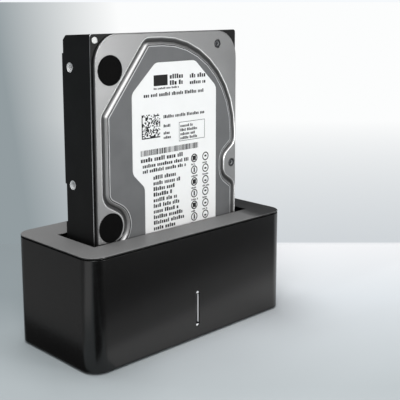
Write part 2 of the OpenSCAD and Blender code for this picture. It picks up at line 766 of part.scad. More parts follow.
// A prism whose ends narrow from w by d to a bevel smaller all round, over the height c
module bevel_block(w, d, c) {
    intersection() {
        rotate([90, 0, 0]) linear_extrude(d, center = true)
            polygon([[-w / 2, 0], [w / 2, 0], [w / 2 - c, c], [-w / 2 + c, c]]);
        rotate([90, 0, 90]) linear_extrude(w, center = true)
            polygon([[-d / 2, 0], [d / 2, 0], [d / 2 - c, c], [-d / 2 + c, c]]);
    }
}

// A round cornered slab standing on z, with its upper edge bevelled
module bevel_slab(w, d, r, z, h, c) {
    translate([0, 0, z]) {
        rotate([90, 0, 90]) linear_extrude(w - 2 * r, center = true)
            polygon([[-d / 2, 0], [d / 2, 0], [d / 2, h - c], [d / 2 - c, h], [-d / 2 + c, h], [-d / 2, h - c]]);
        rotate([90, 0, 0]) linear_extrude(d - 2 * r, center = true)
            polygon([[-w / 2, 0], [w / 2, 0], [w / 2, h - c], [w / 2 - c, h], [-w / 2 + c, h], [-w / 2, h - c]]);
        for (x = [-1, 1]) for (y = [-1, 1])
            translate([x * (w / 2 - r), y * (d / 2 - r), 0]) rotate_extrude()
                polygon([[0, 0], [r, 0], [r, h - c], [r - c, h], [0, h]]);
    }
}

// A box between two corners
module box(low, high) {
    translate(low) cube(high - low);
}

// A round bar along Z, from z0 to z1
module bar(at, z0, z1, r) {
    translate([at.x, at.y, z0]) cylinder(h = z1 - z0, r = r);
}

// A flat shape stood up and given depth from t0 back to t1
module face(t0, t1) {
    translate([0, t1, 0]) rotate([90, 0, 0]) linear_extrude(t1 - t0) children();
}

// A round bar along Y, from t0 to t1
module pin(u, v, t0, t1, r) {
    translate([u, t0, v]) rotate([-90, 0, 0]) cylinder(h = t1 - t0, r = r);
}

// A pan head screw that points up from its seat at z
module screw_up(at, z, head_r, head_h, shank_r, shank_l, socket_r) {
    difference() {
        union() {
            bar(at, z - head_h, z, head_r);
            bar(at, z - hair, z + shank_l, shank_r);
        }
        translate([at.x, at.y, z - head_h - cut])
            cylinder(h = cut + head_h / 2, r = socket_r, $fn = 6);
    }
}

// The drive's own frame
module at_drive() {
    translate([drive_x, drive_y, drive_z]) children();
}

// A stadium slit in the front wall, from y0 to y1
module slit(y0, y1, grow) {
    r = slit_w / 2 + grow;
    for (z = [slit_z0 + slit_w / 2, slit_z1 - slit_w / 2])
        pin(0, z, y0, y1, r);
    box([-r, y0, slit_z0 + slit_w / 2], [r, y1, slit_z1 - slit_w / 2]);
}

module housing() {
    color("#1b1b1c")
    difference() {
        union() {
            difference() {
                slab(body_w, body_d, corner_r, base_z, rim_z - base_z);
                slab(inner_w, inner_d, inner_r, base_z - cut, rim_z);
            }
            difference() {
                slab(inner_w + hair, inner_d + hair, inner_r, base_top, ledge_h);
                slab(inner_w - 2 * ledge_w, inner_d - 2 * ledge_w, inner_r - ledge_w,
                    base_top - cut, ledge_h + 2 * cut);
            }
        }
        difference() {
            slab(body_w + 2 * cut, body_d + 2 * cut, corner_r + cut, rim_z - seam_h, seam_h + cut);
            slab(body_w - 2 * seam_in, body_d - 2 * seam_in, corner_r - seam_in,
                rim_z - seam_h - cut, seam_h + 3 * cut);
        }
        slit(-body_d / 2 - cut, front_in + cut, 0);
        translate([(field_x0 + field_x1) / 2, body_d / 2 + cut, (field_z0 + field_z1) / 2])
            rotate([90, 0, 0]) linear_extrude(field_in + cut)
                round_rect(field_x1 - field_x0, field_z1 - field_z0, field_r);
        box([usb_x - usb_w / 2 - port_gap, rear_in - cut, board_top - port_gap],
            [usb_x + usb_w / 2 + port_gap, body_d / 2, board_top + usb_h + port_gap]);
        box([switch_x - switch_w / 2 - port_gap, rear_in - cut, board_top - port_gap],
            [switch_x + switch_w / 2 + port_gap, body_d / 2, board_top + switch_h + port_gap]);
        pin(jack_x, jack_z, rear_in - cut, body_d / 2, jack_nose_r + port_gap);
    }
}

module top_cover() {
    slot_mid = [slot_x0 + slot_w / 2, slot_y0 + slot_d / 2];
    color("#2b2b2d")
    difference() {
        union() {
            bevel_slab(body_w, body_d, corner_r, rim_z, top_edge, top_bevel);
            slab(inner_w - 2 * fit_gap, inner_d - 2 * fit_gap, inner_r - fit_gap, top_under,
                top_t - top_edge + hair);
            difference() {
                slab(inner_w - 2 * fit_gap, inner_d - 2 * fit_gap, inner_r - fit_gap,
                    top_under - lip_h, lip_h + hair);
                slab(inner_w - 2 * fit_gap - 2 * lip_t, inner_d - 2 * fit_gap - 2 * lip_t,
                    inner_r - fit_gap - lip_t, top_under - lip_h - cut, lip_h + cut);
            }
            for (p = corner_places) bar(p, post_under, top_under + hair, post_r);
            for (p = ear_places) bar(p, top_under - ear_boss_h, top_under + hair, ear_boss_r);
        }
        box([slot_x0, slot_y0, top_under - cut], [slot_x0 + slot_w, slot_y0 + slot_d, body_h + cut]);
        translate([slot_mid.x, slot_mid.y, body_h + hair]) mirror([0, 0, 1])
            bevel_block(slot_w + 2 * (slot_bevel + hair), slot_d + 2 * (slot_bevel + hair), slot_bevel + hair);
        for (p = corner_places)
            bar(p, post_under - cut, screw_seat_z + base_screw_l + cut, base_screw_r + loose);
        for (p = ear_places)
            bar(p, top_under - ear_boss_h - cut, ear_z + small_screw_l + cut, small_screw_r + loose);
    }
}

// A guide rib along Z with a slanted lead at its top, proud of the wall at y 0 towards -Y
module guide_rib(proud) {
    rotate([90, 0, 90]) linear_extrude(rib_w, center = true)
        polygon([[hair, drive_z - seat_gap - hair], [-proud, drive_z - seat_gap - hair],
            [-proud, rib_top - rib_lead], [hair, rib_top]]);
}

module drive_bay() {
    rib_steps = [1 / 6, 1 / 2, 5 / 6];
    color("#242426")
    difference() {
        union() {
            difference() {
                box([bay_x0, bay_y0, bay_under], [bay_x1, bay_y1, top_under]);
                box([slot_x0, slot_y0, bay_under + bay_floor_t],
                    [slot_x0 + slot_w, slot_y0 + slot_d, top_under + cut]);
            }
            for (s = rib_steps) translate([slot_x0 + s * slot_w, slot_y0 + slot_d, 0]) guide_rib(rib_back);
            for (s = rib_steps) translate([slot_x0 + slot_w, slot_y0 + s * slot_d, 0])
                rotate([0, 0, -90]) guide_rib(rib_right);
            for (s = rib_steps) translate([slot_x0, slot_y0 + s * slot_d, 0])
                rotate([0, 0, 90]) guide_rib(rib_left);
            for (p = ear_places)
                box([min(p.x - ear_hole_in, p.x + ear_hole_in), p.y - ear_w / 2, ear_z],
                    [p.x + ear_hole_in, p.y + ear_w / 2, ear_z + ear_t]);
            for (p = board_boss_places) bar(p, board_top, bay_under + hair, board_boss_r);
        }
        for (p = ear_places) bar(p, ear_z - cut, ear_z + ear_t + cut, small_screw_r + loose);
        for (p = board_boss_places)
            bar(p, board_top - cut, board_under + small_screw_l + cut, small_screw_r + loose);
        box([conn_x - sata_w / 2 - mate_gap, conn_y - sata_d / 2 - mate_gap, bay_under - cut],
            [conn_x + sata_w / 2 + mate_gap, conn_y + sata_d / 2 + mate_gap, drive_z + cut]);
    }
}

module bay_screws() {
    color("#8b8d90") for (p = ear_places)
        screw_up(p, ear_z, small_screw_head_r, small_screw_head_h, small_screw_r, small_screw_l,
            small_screw_r);
}

module base_plate() {
    supports = [conn_x - support_x, conn_x + support_x];
    color("#202022")
    difference() {
        union() {
            slab(inner_w - 2 * fit_gap, inner_d - 2 * fit_gap, inner_r - fit_gap, base_z, base_t);
            for (p = corner_places) bar(p, base_top - hair, post_under, base_boss_r);
            for (x = supports)
                box([x - support_w / 2, conn_y - support_l / 2, base_top - hair],
                    [x + support_w / 2, conn_y + support_l / 2, board_under]);
        }
        for (p = corner_places) {
            bar(p, base_z - cut, base_z + foot_recess, foot_r + loose);
            bar(p, base_z, screw_seat_z, base_screw_head_r + loose);
            bar(p, base_z, post_under + cut, base_screw_r + loose);
        }
    }
}

module base_screws() {
    color("#8b8d90") for (p = corner_places)
        screw_up(p, screw_seat_z, base_screw_head_r, base_screw_head_h, base_screw_r, base_screw_l,
            base_screw_r);
}

module rubber_feet() {
    foot_top = foot_h + foot_recess;
    edge = foot_h / 2;
    color("#0f0f10") for (p = corner_places)
        translate([p.x, p.y, 0]) rotate_extrude()
            polygon([[0, 0], [foot_r - edge, 0], [foot_r, edge], [foot_r, foot_top], [0, foot_top]]);
}

module main_board() {
    color("#1d5a34")
    difference() {
        box([-board_x1, board_y0, board_under], [board_x1, board_y1, board_top]);
        for (p = board_boss_places) bar(p, board_under - cut, board_top + cut, small_screw_r + loose);
    }
}

module board_screws() {
    color("#8b8d90") for (p = board_boss_places)
        screw_up(p, board_under, small_screw_head_r, small_screw_head_h, small_screw_r, small_screw_l,
            small_screw_r);
}

// A tongue with its key leg, as a flat shape round its middle; the leg points to the front
module tongue_shape(w, grow) {
    square([w + 2 * grow, tongue_d + 2 * grow], center = true);
    translate([w / 2 - tongue_d - grow, -tongue_d / 2 - key_leg - grow])
        square([tongue_d + 2 * grow, key_leg + tongue_d / 2 + grow]);
}

module sata_receptacle() {
    nose_top = board_top + sata_h + nose_h;
    color("#151516")
    difference() {
        union() {
            box([conn_x - sata_w / 2, conn_y - sata_d / 2, board_top],
                [conn_x + sata_w / 2, conn_y + sata_d / 2, board_top + sata_h]);
            for (s = sockets)
                box([conn_x + s[0] - s[1] / 2 + mate_gap, conn_y - plug_socket_d / 2 + mate_gap,
                        board_top + sata_h - hair],
                    [conn_x + s[0] + s[1] / 2 - mate_gap, conn_y + plug_socket_d / 2 - mate_gap, nose_top]);
        }
        for (s = sockets)
            translate([conn_x + s[0], conn_y, board_top + sata_h - cut])
                linear_extrude(nose_h + 2 * cut) tongue_shape(s[1] - 2 * tongue_in, mate_gap);
    }
}

module sata_contacts() {
    color("#c9a24a")
    for (s = sockets) for (i = [0:s[2] - 1])
        translate([conn_x + s[0] + (i - (s[2] - 1) / 2) * contact_step, conn_y - sata_d / 2, board_top])
            box([-contact_w / 2, -tail_l, 0], [contact_w / 2, 0, tail_t]);
}

module bridge_chip() {
    x = conn_x + sata_w / 2 + chip_side;
    color("#17181a")
    box([x, conn_y - chip_side / 2, board_top], [x + chip_side, conn_y + chip_side / 2, board_top + chip_t]);
}

module crystal() {
    x = conn_x + sata_w / 2 + chip_side / 2;
    y = conn_y - chip_side;
    color("#b9bcc0") {
        box([x, y - crystal_w / 2, board_top], [x + crystal_l - crystal_w, y + crystal_w / 2, board_top + crystal_h]);
        for (e = [0, crystal_l - crystal_w])
            bar([x + e, y], board_top, board_top + crystal_h, crystal_w / 2);
    }
}

module capacitors() {
    y = board_y0 + front_row;
    color("#3a3f57") for (i = [-1:1])
        bar([-board_x1 / 2 + i * cap_step, y], board_top, board_top + cap_h, cap_r);
}

module power_inductor() {
    x = board_x1 / 2;
    y = board_y0 + front_row;
    color("#4a4a4c")
    translate([x, y, board_top]) linear_extrude(inductor_h) round_rect(coil_side, coil_side, coil_side / 5);
}

module status_lamp() {
    color("#f2f4f6")
    box([-lamp_w / 2, board_y0, board_top], [lamp_w / 2, board_y0 + lamp_h, board_top + lamp_h]);
}

module light_pipe() {
    r = slit_w / 2 + pipe_rim;
    color("#dfe5ea") {
        slit(-body_d / 2 + slit_recess, front_in + hair, -pipe_gap);
        box([-r, front_in, slit_z0 - pipe_rim], [r, front_in + pipe_flange, slit_z1 + pipe_rim]);
    }
}

module usb_port_shell() {
    color("#c2c5c8")
    difference() {
        box([usb_x - usb_w / 2, field_y - usb_d, board_top], [usb_x + usb_w / 2, field_y, board_top + usb_h]);
        box([usb_x - usb_w / 2 + usb_sheet, field_y - usb_d + usb_sheet, board_top + usb_sheet],
            [usb_x + usb_w / 2 - usb_sheet, field_y + cut, board_top + usb_h - usb_sheet]);
    }
}

module usb_port_insert() {
    floor_z = board_top + usb_sheet + usb_rim;
    back_y = field_y - usb_socket;
    up_z = floor_z + usb_low_h;
    tongue_w = usb_up_w - 2 * port_gap;
    color("#1f3f86")
    difference() {
        box([usb_x - usb_w / 2 + usb_sheet, field_y - usb_d + usb_sheet, board_top + usb_sheet],
            [usb_x + usb_w / 2 - usb_sheet, field_y - hair, board_top + usb_h - usb_sheet]);
        difference() {
            union() {
                box([usb_x - usb_low_w / 2, back_y, floor_z], [usb_x + usb_low_w / 2, field_y + cut, up_z]);
                box([usb_x - usb_up_w / 2, back_y, up_z - hair],
                    [usb_x + usb_up_w / 2, field_y + cut, up_z + usb_up_h]);
            }
            for (z = [floor_z + usb_low_h / 2, up_z + usb_up_h / 2])
                box([usb_x - tongue_w / 2, back_y - cut, z - usb_tongue / 2],
                    [usb_x + tongue_w / 2, field_y - jack_pin_in, z + usb_tongue / 2]);
        }
    }
}

module dc_jack_body() {
    body_y1 = rear_in - board_gap;
    color("#121213")
    difference() {
        union() {
            box([jack_x - jack_w / 2, body_y1 - jack_d, board_top], [jack_x + jack_w / 2, body_y1, board_top + jack_h]);
            pin(jack_x, jack_z, body_y1 - hair, field_y, jack_nose_r);
        }
        pin(jack_x, jack_z, field_y - jack_bore_l, field_y + cut, jack_bore_r);
    }
}

module dc_jack_pin() {
    color("#d0d2d4")
    pin(jack_x, jack_z, field_y - jack_bore_l, field_y - jack_pin_in, jack_pin_r);
}

module power_switch_body() {
    axle_z1 = switch_open_h / 2 + switch_wall + cut;
    color("#141415")
    difference() {
        box([switch_x - switch_w / 2, field_y - switch_d, board_top],
            [switch_x + switch_w / 2, field_y, board_top + switch_h]);
        box([switch_x - switch_open_w / 2, field_y - switch_open_d, switch_z - switch_open_h / 2],
            [switch_x + switch_open_w / 2, field_y + cut, switch_z + switch_open_h / 2]);
        bar([switch_x, axle_y], switch_z - rocker_h / 2 - rocker_axle_reach - hair - switch_side_gap,
            switch_z + rocker_h / 2 + rocker_axle_reach + hair + switch_side_gap, rocker_axle_r + run_gap);
    }
}

module power_rocker() {
    end_y = rocker_axle_in + rocker_proud;
    belly = rocker_w / 5;
    color("#232325")
    translate([switch_x, axle_y, switch_z]) rotate([0, 0, rocker_tilt]) {
        linear_extrude(rocker_h, center = true)
            polygon([[-rocker_w / 2, end_y], [-rocker_w / 2, end_y / 2], [-belly, -rocker_axle_in / 2],
                [belly, -rocker_axle_in / 2], [rocker_w / 2, end_y / 2], [rocker_w / 2, end_y],
                [0, end_y - rocker_dip]]);
        cylinder(h = rocker_h + 2 * (rocker_axle_reach + switch_side_gap), r = rocker_axle_r, center = true);
    }
}

// The chamber that the discs and the actuator turn in, as a flat shape
module chamber_shape() {
    low_w = drive_w - 2 * chamber_side;
    low_h = spindle_v - chamber_low - chamber_r * 0.6;
    translate([spindle_u, spindle_v]) circle(chamber_r);
    difference() {
        translate([drive_w / 2, chamber_low + low_h / 2]) round_rect(low_w, low_h, cover_r_low);
        translate(disc_places[1]) circle(disc_r - 2);
    }
}

module casting_holes() {
    side_t = drive_t - side_hole_t;
    for (v = side_hole_places) translate([0, side_t, v]) rotate([0, 90, 0]) {
        translate([0, 0, -cut]) cylinder(h = mount_hole_l + cut, r = mount_hole_r);
        translate([0, 0, -cut]) cylinder(h = spot_l + cut, r = spot_r);
        translate([0, 0, drive_w - mount_hole_l]) cylinder(h = mount_hole_l + cut, r = mount_hole_r);
        translate([0, 0, drive_w - spot_l]) cylinder(h = spot_l + cut, r = spot_r);
    }
    for (p = back_hole_places) pin(p.x, p.y, drive_t - mount_hole_l, drive_t + cut, mount_hole_r);
    for (p = cover_screw_places)
        pin(p.x, p.y, casting_face - cut, cover_back + cover_screw_l + cut, cover_screw_r + loose);
    for (p = drive_board_screw_places)
        pin(p.x, p.y, board_seat - drive_board_screw_in, board_seat + cut, cover_screw_r + loose);
    pin(corner_pin_in, drive_l - corner_pin_in, casting_face - cut, casting_face + corner_pin_l, corner_pin_r);
}

module drive_casting() {
    outer = [[0, 0, casting_r], [drive_w, 0, casting_r], [drive_w, drive_l, casting_r], [0, drive_l, casting_r]];
    board_in = drive_board_in - drive_board_gap;
    pocket = controller_side + 2 * drive_board_in;
    color("#1c1c1d")
    at_drive() difference() {
        union() {
            face(casting_face, casting_back) polygon(outline(outer));
            for (u = [0, drive_w - rail_w]) for (s = rail_spans)
                box([u, casting_back - hair, s[0]], [u + rail_w, drive_t, s[0] + s[1]]);
        }
        face(casting_face - cut, chamber_floor) chamber_shape();
        box([board_in, board_seat, -cut], [drive_w - board_in, drive_t, drive_board_top + drive_board_gap]);
        box([spindle_u - pocket, board_seat - drive_chip_t - 2 * hair, plug_h + drive_board_screw_in],
            [spindle_u + pocket / 2, board_seat + cut, drive_board_top - motor_base_r]);
        pin(spindle_u, spindle_v, casting_back - motor_base_t - hair, drive_t, motor_base_r + loose);
        pin(spindle_u, spindle_v, chamber_floor - cut, drive_t, sleeve_r + loose);
        box([plug_u - plug_w / 2 - drive_board_gap, plug_t - plug_d / 2 - drive_board_gap, -cut],
            [plug_u + plug_w / 2 + drive_board_gap, drive_t, plug_h + drive_board_gap]);
        casting_holes();
    }
}

// The channel pressed round the cover's middle: an easy slope down from the flange, a narrow
// floor, and a steeper wall that goes up past the flange to the raised face
module channel_cut() {
    over = channel_slope * hair / channel_depth;
    wall_in = channel_slope + channel_floor;
    wall_over = (channel_w - wall_in) * hair / (cover_rise + channel_depth);
    top = -cover_rise - hair;
    section = [
        [-over, -hair],
        [channel_slope, channel_depth],
        [wall_in, channel_depth],
        [channel_w + wall_over, top],
        [-over, top],
    ];
    rings = [for (s = section) [for (p = outline(channel_corners, s.x)) [p.x, cover_flange + s.y, p.y]]];
    n = len(rings[0]);
    m = len(section);
    polyhedron(
        [for (ring = rings) each ring],
        [for (k = [0:m - 1]) for (i = [0:n - 1])
            let (a = k * n + i, b = k * n + (i + 1) % n)
            let (c = ((k + 1) % m) * n + (i + 1) % n, d = ((k + 1) % m) * n + i)
            each [[a, b, c], [a, c, d]]]
    );
}

// The pressed cover: a flange, a channel inside it and the raised middle that the foil is stuck on
module drive_cover() {
    color("#b4b6b9")
    at_drive() difference() {
        union() {
            face(cover_flange, cover_back) polygon(outline(cover_corners));
            face(cover_face, cover_flange + hair)
                polygon(outline(channel_corners, channel_slope + channel_floor / 2));
        }
        channel_cut();
        for (p = cover_screw_places) {
            pin(p.x, p.y, cover_flange - cut, cover_flange + cover_screw_dimple, cover_screw_head_r + loose);
            pin(p.x, p.y, cover_flange - cut, cover_back + cut, cover_screw_r + loose);
        }
    }
}

module cover_gasket() {
    color("#2a2a2a")
    at_drive() difference() {
        face(cover_back, casting_face) polygon(outline(cover_corners, hair * 2));
        face(cover_back - cut, casting_face + cut) chamber_shape();
        for (p = cover_screw_places) pin(p.x, p.y, cover_back - cut, casting_face + cut, cover_screw_r + loose);
    }
}

module cover_screws() {
    seat = cover_flange + cover_screw_dimple;
    color("#3c3d40")
    at_drive() for (p = cover_screw_places)
        difference() {
            union() {
                pin(p.x, p.y, cover_flange + hair, seat, cover_screw_head_r);
                pin(p.x, p.y, seat - hair, cover_back + cover_screw_l, cover_screw_r);
            }
            translate([p.x, cover_flange - cut, p.y]) rotate([-90, 0, 0])
                cylinder(h = cut + cover_screw_dimple * 0.7, r = cover_screw_r, $fn = 6);
        }
}

module seal_discs() {
    color("#070707")
    at_drive() for (p = disc_places) pin(p.x, p.y, cover_flange - disc_t, cover_flange, disc_r);
}

module damper_foil() {
    color("#6d6f72")
    at_drive() face(foil_face, cover_face) polygon(outline(channel_corners, channel_w + foil_rim));
}

module drive_label() {
    color("#f4f4f2")
    at_drive() face(0, foil_face) polygon(outline(label_corners));
}

module corner_pin() {
    color("#e2e4e6")
    at_drive() pin(corner_pin_in, drive_l - corner_pin_in, casting_face, casting_face + corner_pin_l, corner_pin_r);
}

module drive_board() {
    color("#1f6a3c")
    at_drive() difference() {
        box([drive_board_in, board_seat, plug_h], [drive_w - drive_board_in, board_seat + drive_board_t, drive_board_top]);
        pin(spindle_u, spindle_v, board_seat - cut, drive_t, motor_base_r + 2 * drive_board_gap);
        for (p = drive_board_screw_places) pin(p.x, p.y, board_seat - cut, drive_t, cover_screw_r + loose);
    }
}

module drive_board_screws() {
    back = board_seat + drive_board_t;
    color("#9a9c9f")
    at_drive() for (p = drive_board_screw_places)
        difference() {
            union() {
                pin(p.x, p.y, back, back + rail_h - hair, drive_board_screw_r);
                pin(p.x, p.y, board_seat - drive_board_screw_in + cut, back + hair, cover_screw_r);
            }
            translate([p.x, back + rail_h / 2, p.y]) rotate([-90, 0, 0])
                cylinder(h = rail_h, r = cover_screw_r, $fn = 6);
        }
}

module drive_chips() {
    v0 = plug_h + 2 * drive_board_screw_in;
    sides = [[spindle_u - controller_side, controller_side, controller_side],
        [spindle_u + controller_side / 4, controller_side * 0.6, controller_side],
        [spindle_u - controller_side * 1.7, controller_side / 2, controller_side / 2]];
    color("#161719")
    at_drive() for (s = sides)
        box([s[0], board_seat - drive_chip_t, v0], [s[0] + s[1], board_seat, v0 + s[2]]);
}

module drive_plug() {
    color("#131314")
    at_drive() translate([plug_u, plug_t, 0]) {
        difference() {
            box([-plug_w / 2, -plug_d / 2, 0], [plug_w / 2, plug_d / 2, plug_h]);
            for (s = sockets)
                box([s[0] - s[1] / 2, -plug_socket_d / 2, -cut], [s[0] + s[1] / 2, plug_socket_d / 2, plug_depth]);
        }
        for (s = sockets)
            translate([s[0], 0, tongue_tip]) linear_extrude(plug_depth - tongue_tip + hair)
                tongue_shape(s[1] - 2 * tongue_in, 0);
    }
}

module plug_contacts() {
    color("#d8b25a")
    at_drive() for (s = sockets) for (i = [0:s[2] - 1])
        translate([plug_u + s[0] + (i - (s[2] - 1) / 2) * contact_step, plug_t + tongue_d / 2, 0])
            box([-contact_w / 2, 0, tongue_tip + hair], [contact_w / 2, contact_t, plug_depth - hair]);
}

module spindle_motor() {
    color("#c4c6c8")
    at_drive() {
        pin(spindle_u, spindle_v, casting_back - motor_base_t - hair, casting_back - hair, motor_base_r);
        pin(spindle_u, spindle_v, chamber_floor, casting_back - hair, sleeve_r);
        pin(spindle_u, spindle_v, platter_1 - clamp_t, chamber_floor + hair, shaft_r);
    }
}

module spindle_hub() {
    color("#d5d7d9")
    at_drive() difference() {
        union() {
            pin(spindle_u, spindle_v, platter_1 - clamp_t, hub_back, hub_r);
            pin(spindle_u, spindle_v, flange_face, hub_back, hub_r + hub_flange);
        }
        pin(spindle_u, spindle_v, platter_1 - clamp_t - cut, hub_back + cut, shaft_r + run_gap);
    }
}

// A flat ring round the hub, from t0 to t1
module hub_ring(t0, t1, r) {
    at_drive() difference() {
        pin(spindle_u, spindle_v, t0, t1, r);
        pin(spindle_u, spindle_v, t0 - cut, t1 + cut, hub_r + run_gap);
    }
}

module platters() {
    color("#dfe1e4") for (t = [platter_1, platter_2]) hub_ring(t, t + platter_t, platter_r);
}

module disc_spacer() {
    color("#c0c2c4") hub_ring(spacer_face, platter_2, hub_r + hub_flange);
}

module disc_clamp() {
    color("#cfd1d3") hub_ring(platter_1 - clamp_t, platter_1, hub_r + hub_flange);
}

module pivot_post() {
    color("#c8cacc")
    at_drive() pin(pivot_u, pivot_v, arm_faces[0] - arm_t, chamber_floor, pivot_r);
}

module actuator_arm() {
    coil_far = coil_near + coil_h;
    prong = coil_half_near + coil_wind;
    color("#b5b7ba")
    at_drive() difference() {
        union() {
            pin(pivot_u, pivot_v, arm_faces[0], arm_faces[2] + arm_t, actuator_hub_r);
            translate([pivot_u, 0, pivot_v]) {
                for (t = arm_faces) face(t, t + arm_t) {
                    polygon([[-arm_root, 0], [arm_root, 0], [arm_tip, arm_l], [-arm_tip, arm_l]]);
                    translate([0, arm_l]) circle(arm_tip);
                }
                face(coil_face, coil_face + coil_t)
                    polygon([[-actuator_hub_r, 0], [actuator_hub_r, 0], [prong, -coil_near], [-prong, -coil_near]]);
            }
        }
        pin(pivot_u, pivot_v, arm_faces[0] - cut, arm_faces[2] + arm_t + cut, pivot_r + run_gap);
    }
}

module voice_coil() {
    near = -coil_near;
    far = -coil_near - coil_h;
    color("#b8723a")
    at_drive() translate([pivot_u, 0, pivot_v]) difference() {
        face(coil_face, coil_face + coil_t)
            polygon([[-coil_half_far, far], [coil_half_far, far], [coil_half_near, near], [-coil_half_near, near]]);
        face(coil_face - cut, coil_face + coil_t + cut)
            polygon([[-coil_half_far + coil_wind, far + coil_wind], [coil_half_far - coil_wind, far + coil_wind],
                [coil_half_near - coil_wind / 2, near - coil_wind], [-coil_half_near + coil_wind / 2, near - coil_wind]]);
    }
}

module magnet_yokes() {
    low = [pivot_u - yoke_w / 2 + coil_half_near, chamber_low + hair];
    high = [low.x + yoke_w, pivot_v - coil_near - coil_wind];
    post_in = yoke_post_r + hair;
    color("#a9abae")
    at_drive() {
        box([low.x, yoke_face, low.y], [high.x, yoke_face + yoke_t, high.y]);
        box([low.x, chamber_floor - yoke_t, low.y], [high.x, chamber_floor, high.y]);
        for (u = [low.x + post_in, high.x - post_in])
            pin(u, low.y + post_in, yoke_face + hair, chamber_floor - hair, yoke_post_r);
    }
}

housing();
top_cover();
drive_bay();
bay_screws();
base_plate();
base_screws();
rubber_feet();
main_board();
board_screws();
sata_receptacle();
sata_contacts();
bridge_chip();
crystal();
capacitors();
power_inductor();
status_lamp();
light_pipe();
usb_port_shell();
usb_port_insert();
dc_jack_body();
dc_jack_pin();
power_switch_body();
power_rocker();
drive_casting();
drive_cover();
cover_gasket();
cover_screws();
seal_discs();
damper_foil();
drive_label();
corner_pin();
drive_board();
drive_board_screws();
drive_chips();
drive_plug();
plug_contacts();
spindle_motor();
spindle_hub();
platters();
disc_spacer();
disc_clamp();
pivot_post();
actuator_arm();
voice_coil();
magnet_yokes();
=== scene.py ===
import math
import random

import bpy
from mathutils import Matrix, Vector


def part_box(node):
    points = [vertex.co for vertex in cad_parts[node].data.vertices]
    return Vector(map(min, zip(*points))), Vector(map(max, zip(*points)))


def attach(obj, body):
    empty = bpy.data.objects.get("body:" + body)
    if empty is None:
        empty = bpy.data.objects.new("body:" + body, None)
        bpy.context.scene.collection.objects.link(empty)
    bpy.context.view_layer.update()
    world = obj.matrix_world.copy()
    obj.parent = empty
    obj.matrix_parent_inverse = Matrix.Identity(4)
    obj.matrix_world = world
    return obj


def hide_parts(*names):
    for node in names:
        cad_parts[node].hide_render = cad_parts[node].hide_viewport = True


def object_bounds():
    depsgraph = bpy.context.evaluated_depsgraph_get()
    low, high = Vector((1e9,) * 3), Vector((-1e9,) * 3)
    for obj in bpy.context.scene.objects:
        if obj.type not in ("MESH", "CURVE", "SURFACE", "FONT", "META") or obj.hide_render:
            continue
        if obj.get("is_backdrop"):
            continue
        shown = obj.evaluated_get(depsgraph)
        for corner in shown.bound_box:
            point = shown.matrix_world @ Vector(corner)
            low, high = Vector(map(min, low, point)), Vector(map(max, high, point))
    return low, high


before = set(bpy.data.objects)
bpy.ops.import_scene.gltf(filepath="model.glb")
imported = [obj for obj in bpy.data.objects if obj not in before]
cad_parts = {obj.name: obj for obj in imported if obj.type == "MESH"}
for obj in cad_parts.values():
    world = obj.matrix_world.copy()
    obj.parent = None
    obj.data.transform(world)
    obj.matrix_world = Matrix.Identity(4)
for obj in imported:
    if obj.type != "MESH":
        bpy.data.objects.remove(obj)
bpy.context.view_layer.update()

# Camera: it stands left of the dock's front, level with the drive's top, and looks a
# little down. The lens is lowered against the film so that upright edges stay upright.
mm = 0.001
camera_turn = math.radians(-44.167)
camera = bpy.data.objects.new("camera", bpy.data.cameras.new("camera"))
bpy.context.scene.collection.objects.link(camera)
camera.location = (-292.5 * mm, -336.3 * mm, 179.5 * mm)
camera.rotation_euler = (math.radians(90 - 9.873), 0, camera_turn)
camera.data.sensor_width = 36
camera.data.lens = 74.18
camera.data.shift_y = -0.1375
bpy.context.scene.camera = camera
bpy.context.scene.view_settings.view_transform = "Standard"


# Studio floor: one wide pale sheet. It is palest along a fold behind the dock and turns
# a cool grey towards the camera; past the fold the same sheet fades out to white.
def linear(red, green, blue):
    levels = (red / 255, green / 255, blue / 255)
    return tuple(v / 12.92 if v < 0.041 else ((v + 0.055) / 1.055) ** 2.4 for v in levels)


def finish(name, colour, rough, metal=0.0):
    made = bpy.data.materials.new(name)
    made.use_nodes = True
    shader = made.node_tree.nodes["Principled BSDF"]
    shader.inputs["Base Color"].default_value = (*colour, 1)
    shader.inputs["Roughness"].default_value = rough
    shader.inputs["Metallic"].default_value = metal
    return made


def pattern_place(made, stretch=(1, 1, 1), turn=(0, 0, 0), move=(0, 0, 0)):
    tree = made.node_tree
    place = tree.nodes.new("ShaderNodeTexCoord")
    mapping = tree.nodes.new("ShaderNodeMapping")
    mapping.inputs["Scale"].default_value = stretch
    mapping.inputs["Rotation"].default_value = turn
    mapping.inputs["Location"].default_value = move
    tree.links.new(place.outputs["Object"], mapping.inputs["Vector"])
    return mapping.outputs["Vector"]


def tint(made, pattern, *stops):
    ramp = made.node_tree.nodes.new("ShaderNodeValToRGB")
    while len(ramp.color_ramp.elements) < len(stops):
        ramp.color_ramp.elements.new(0.5)
    for element, (share, colour) in zip(ramp.color_ramp.elements, stops):
        element.position = share
        element.color = (*colour, 1)
    shader = made.node_tree.nodes["Principled BSDF"]
    made.node_tree.links.new(pattern, ramp.inputs["Fac"])
    made.node_tree.links.new(ramp.outputs["Color"], shader.inputs["Base Color"])


def node_math(made, kind, first, second):
    step = made.node_tree.nodes.new("ShaderNodeMath")
    step.operation = kind
    for socket, value in zip(step.inputs, (first, second)):
        if isinstance(value, (int, float)):
            socket.default_value = value
        else:
            made.node_tree.links.new(value, socket)
    return step.outputs["Value"]


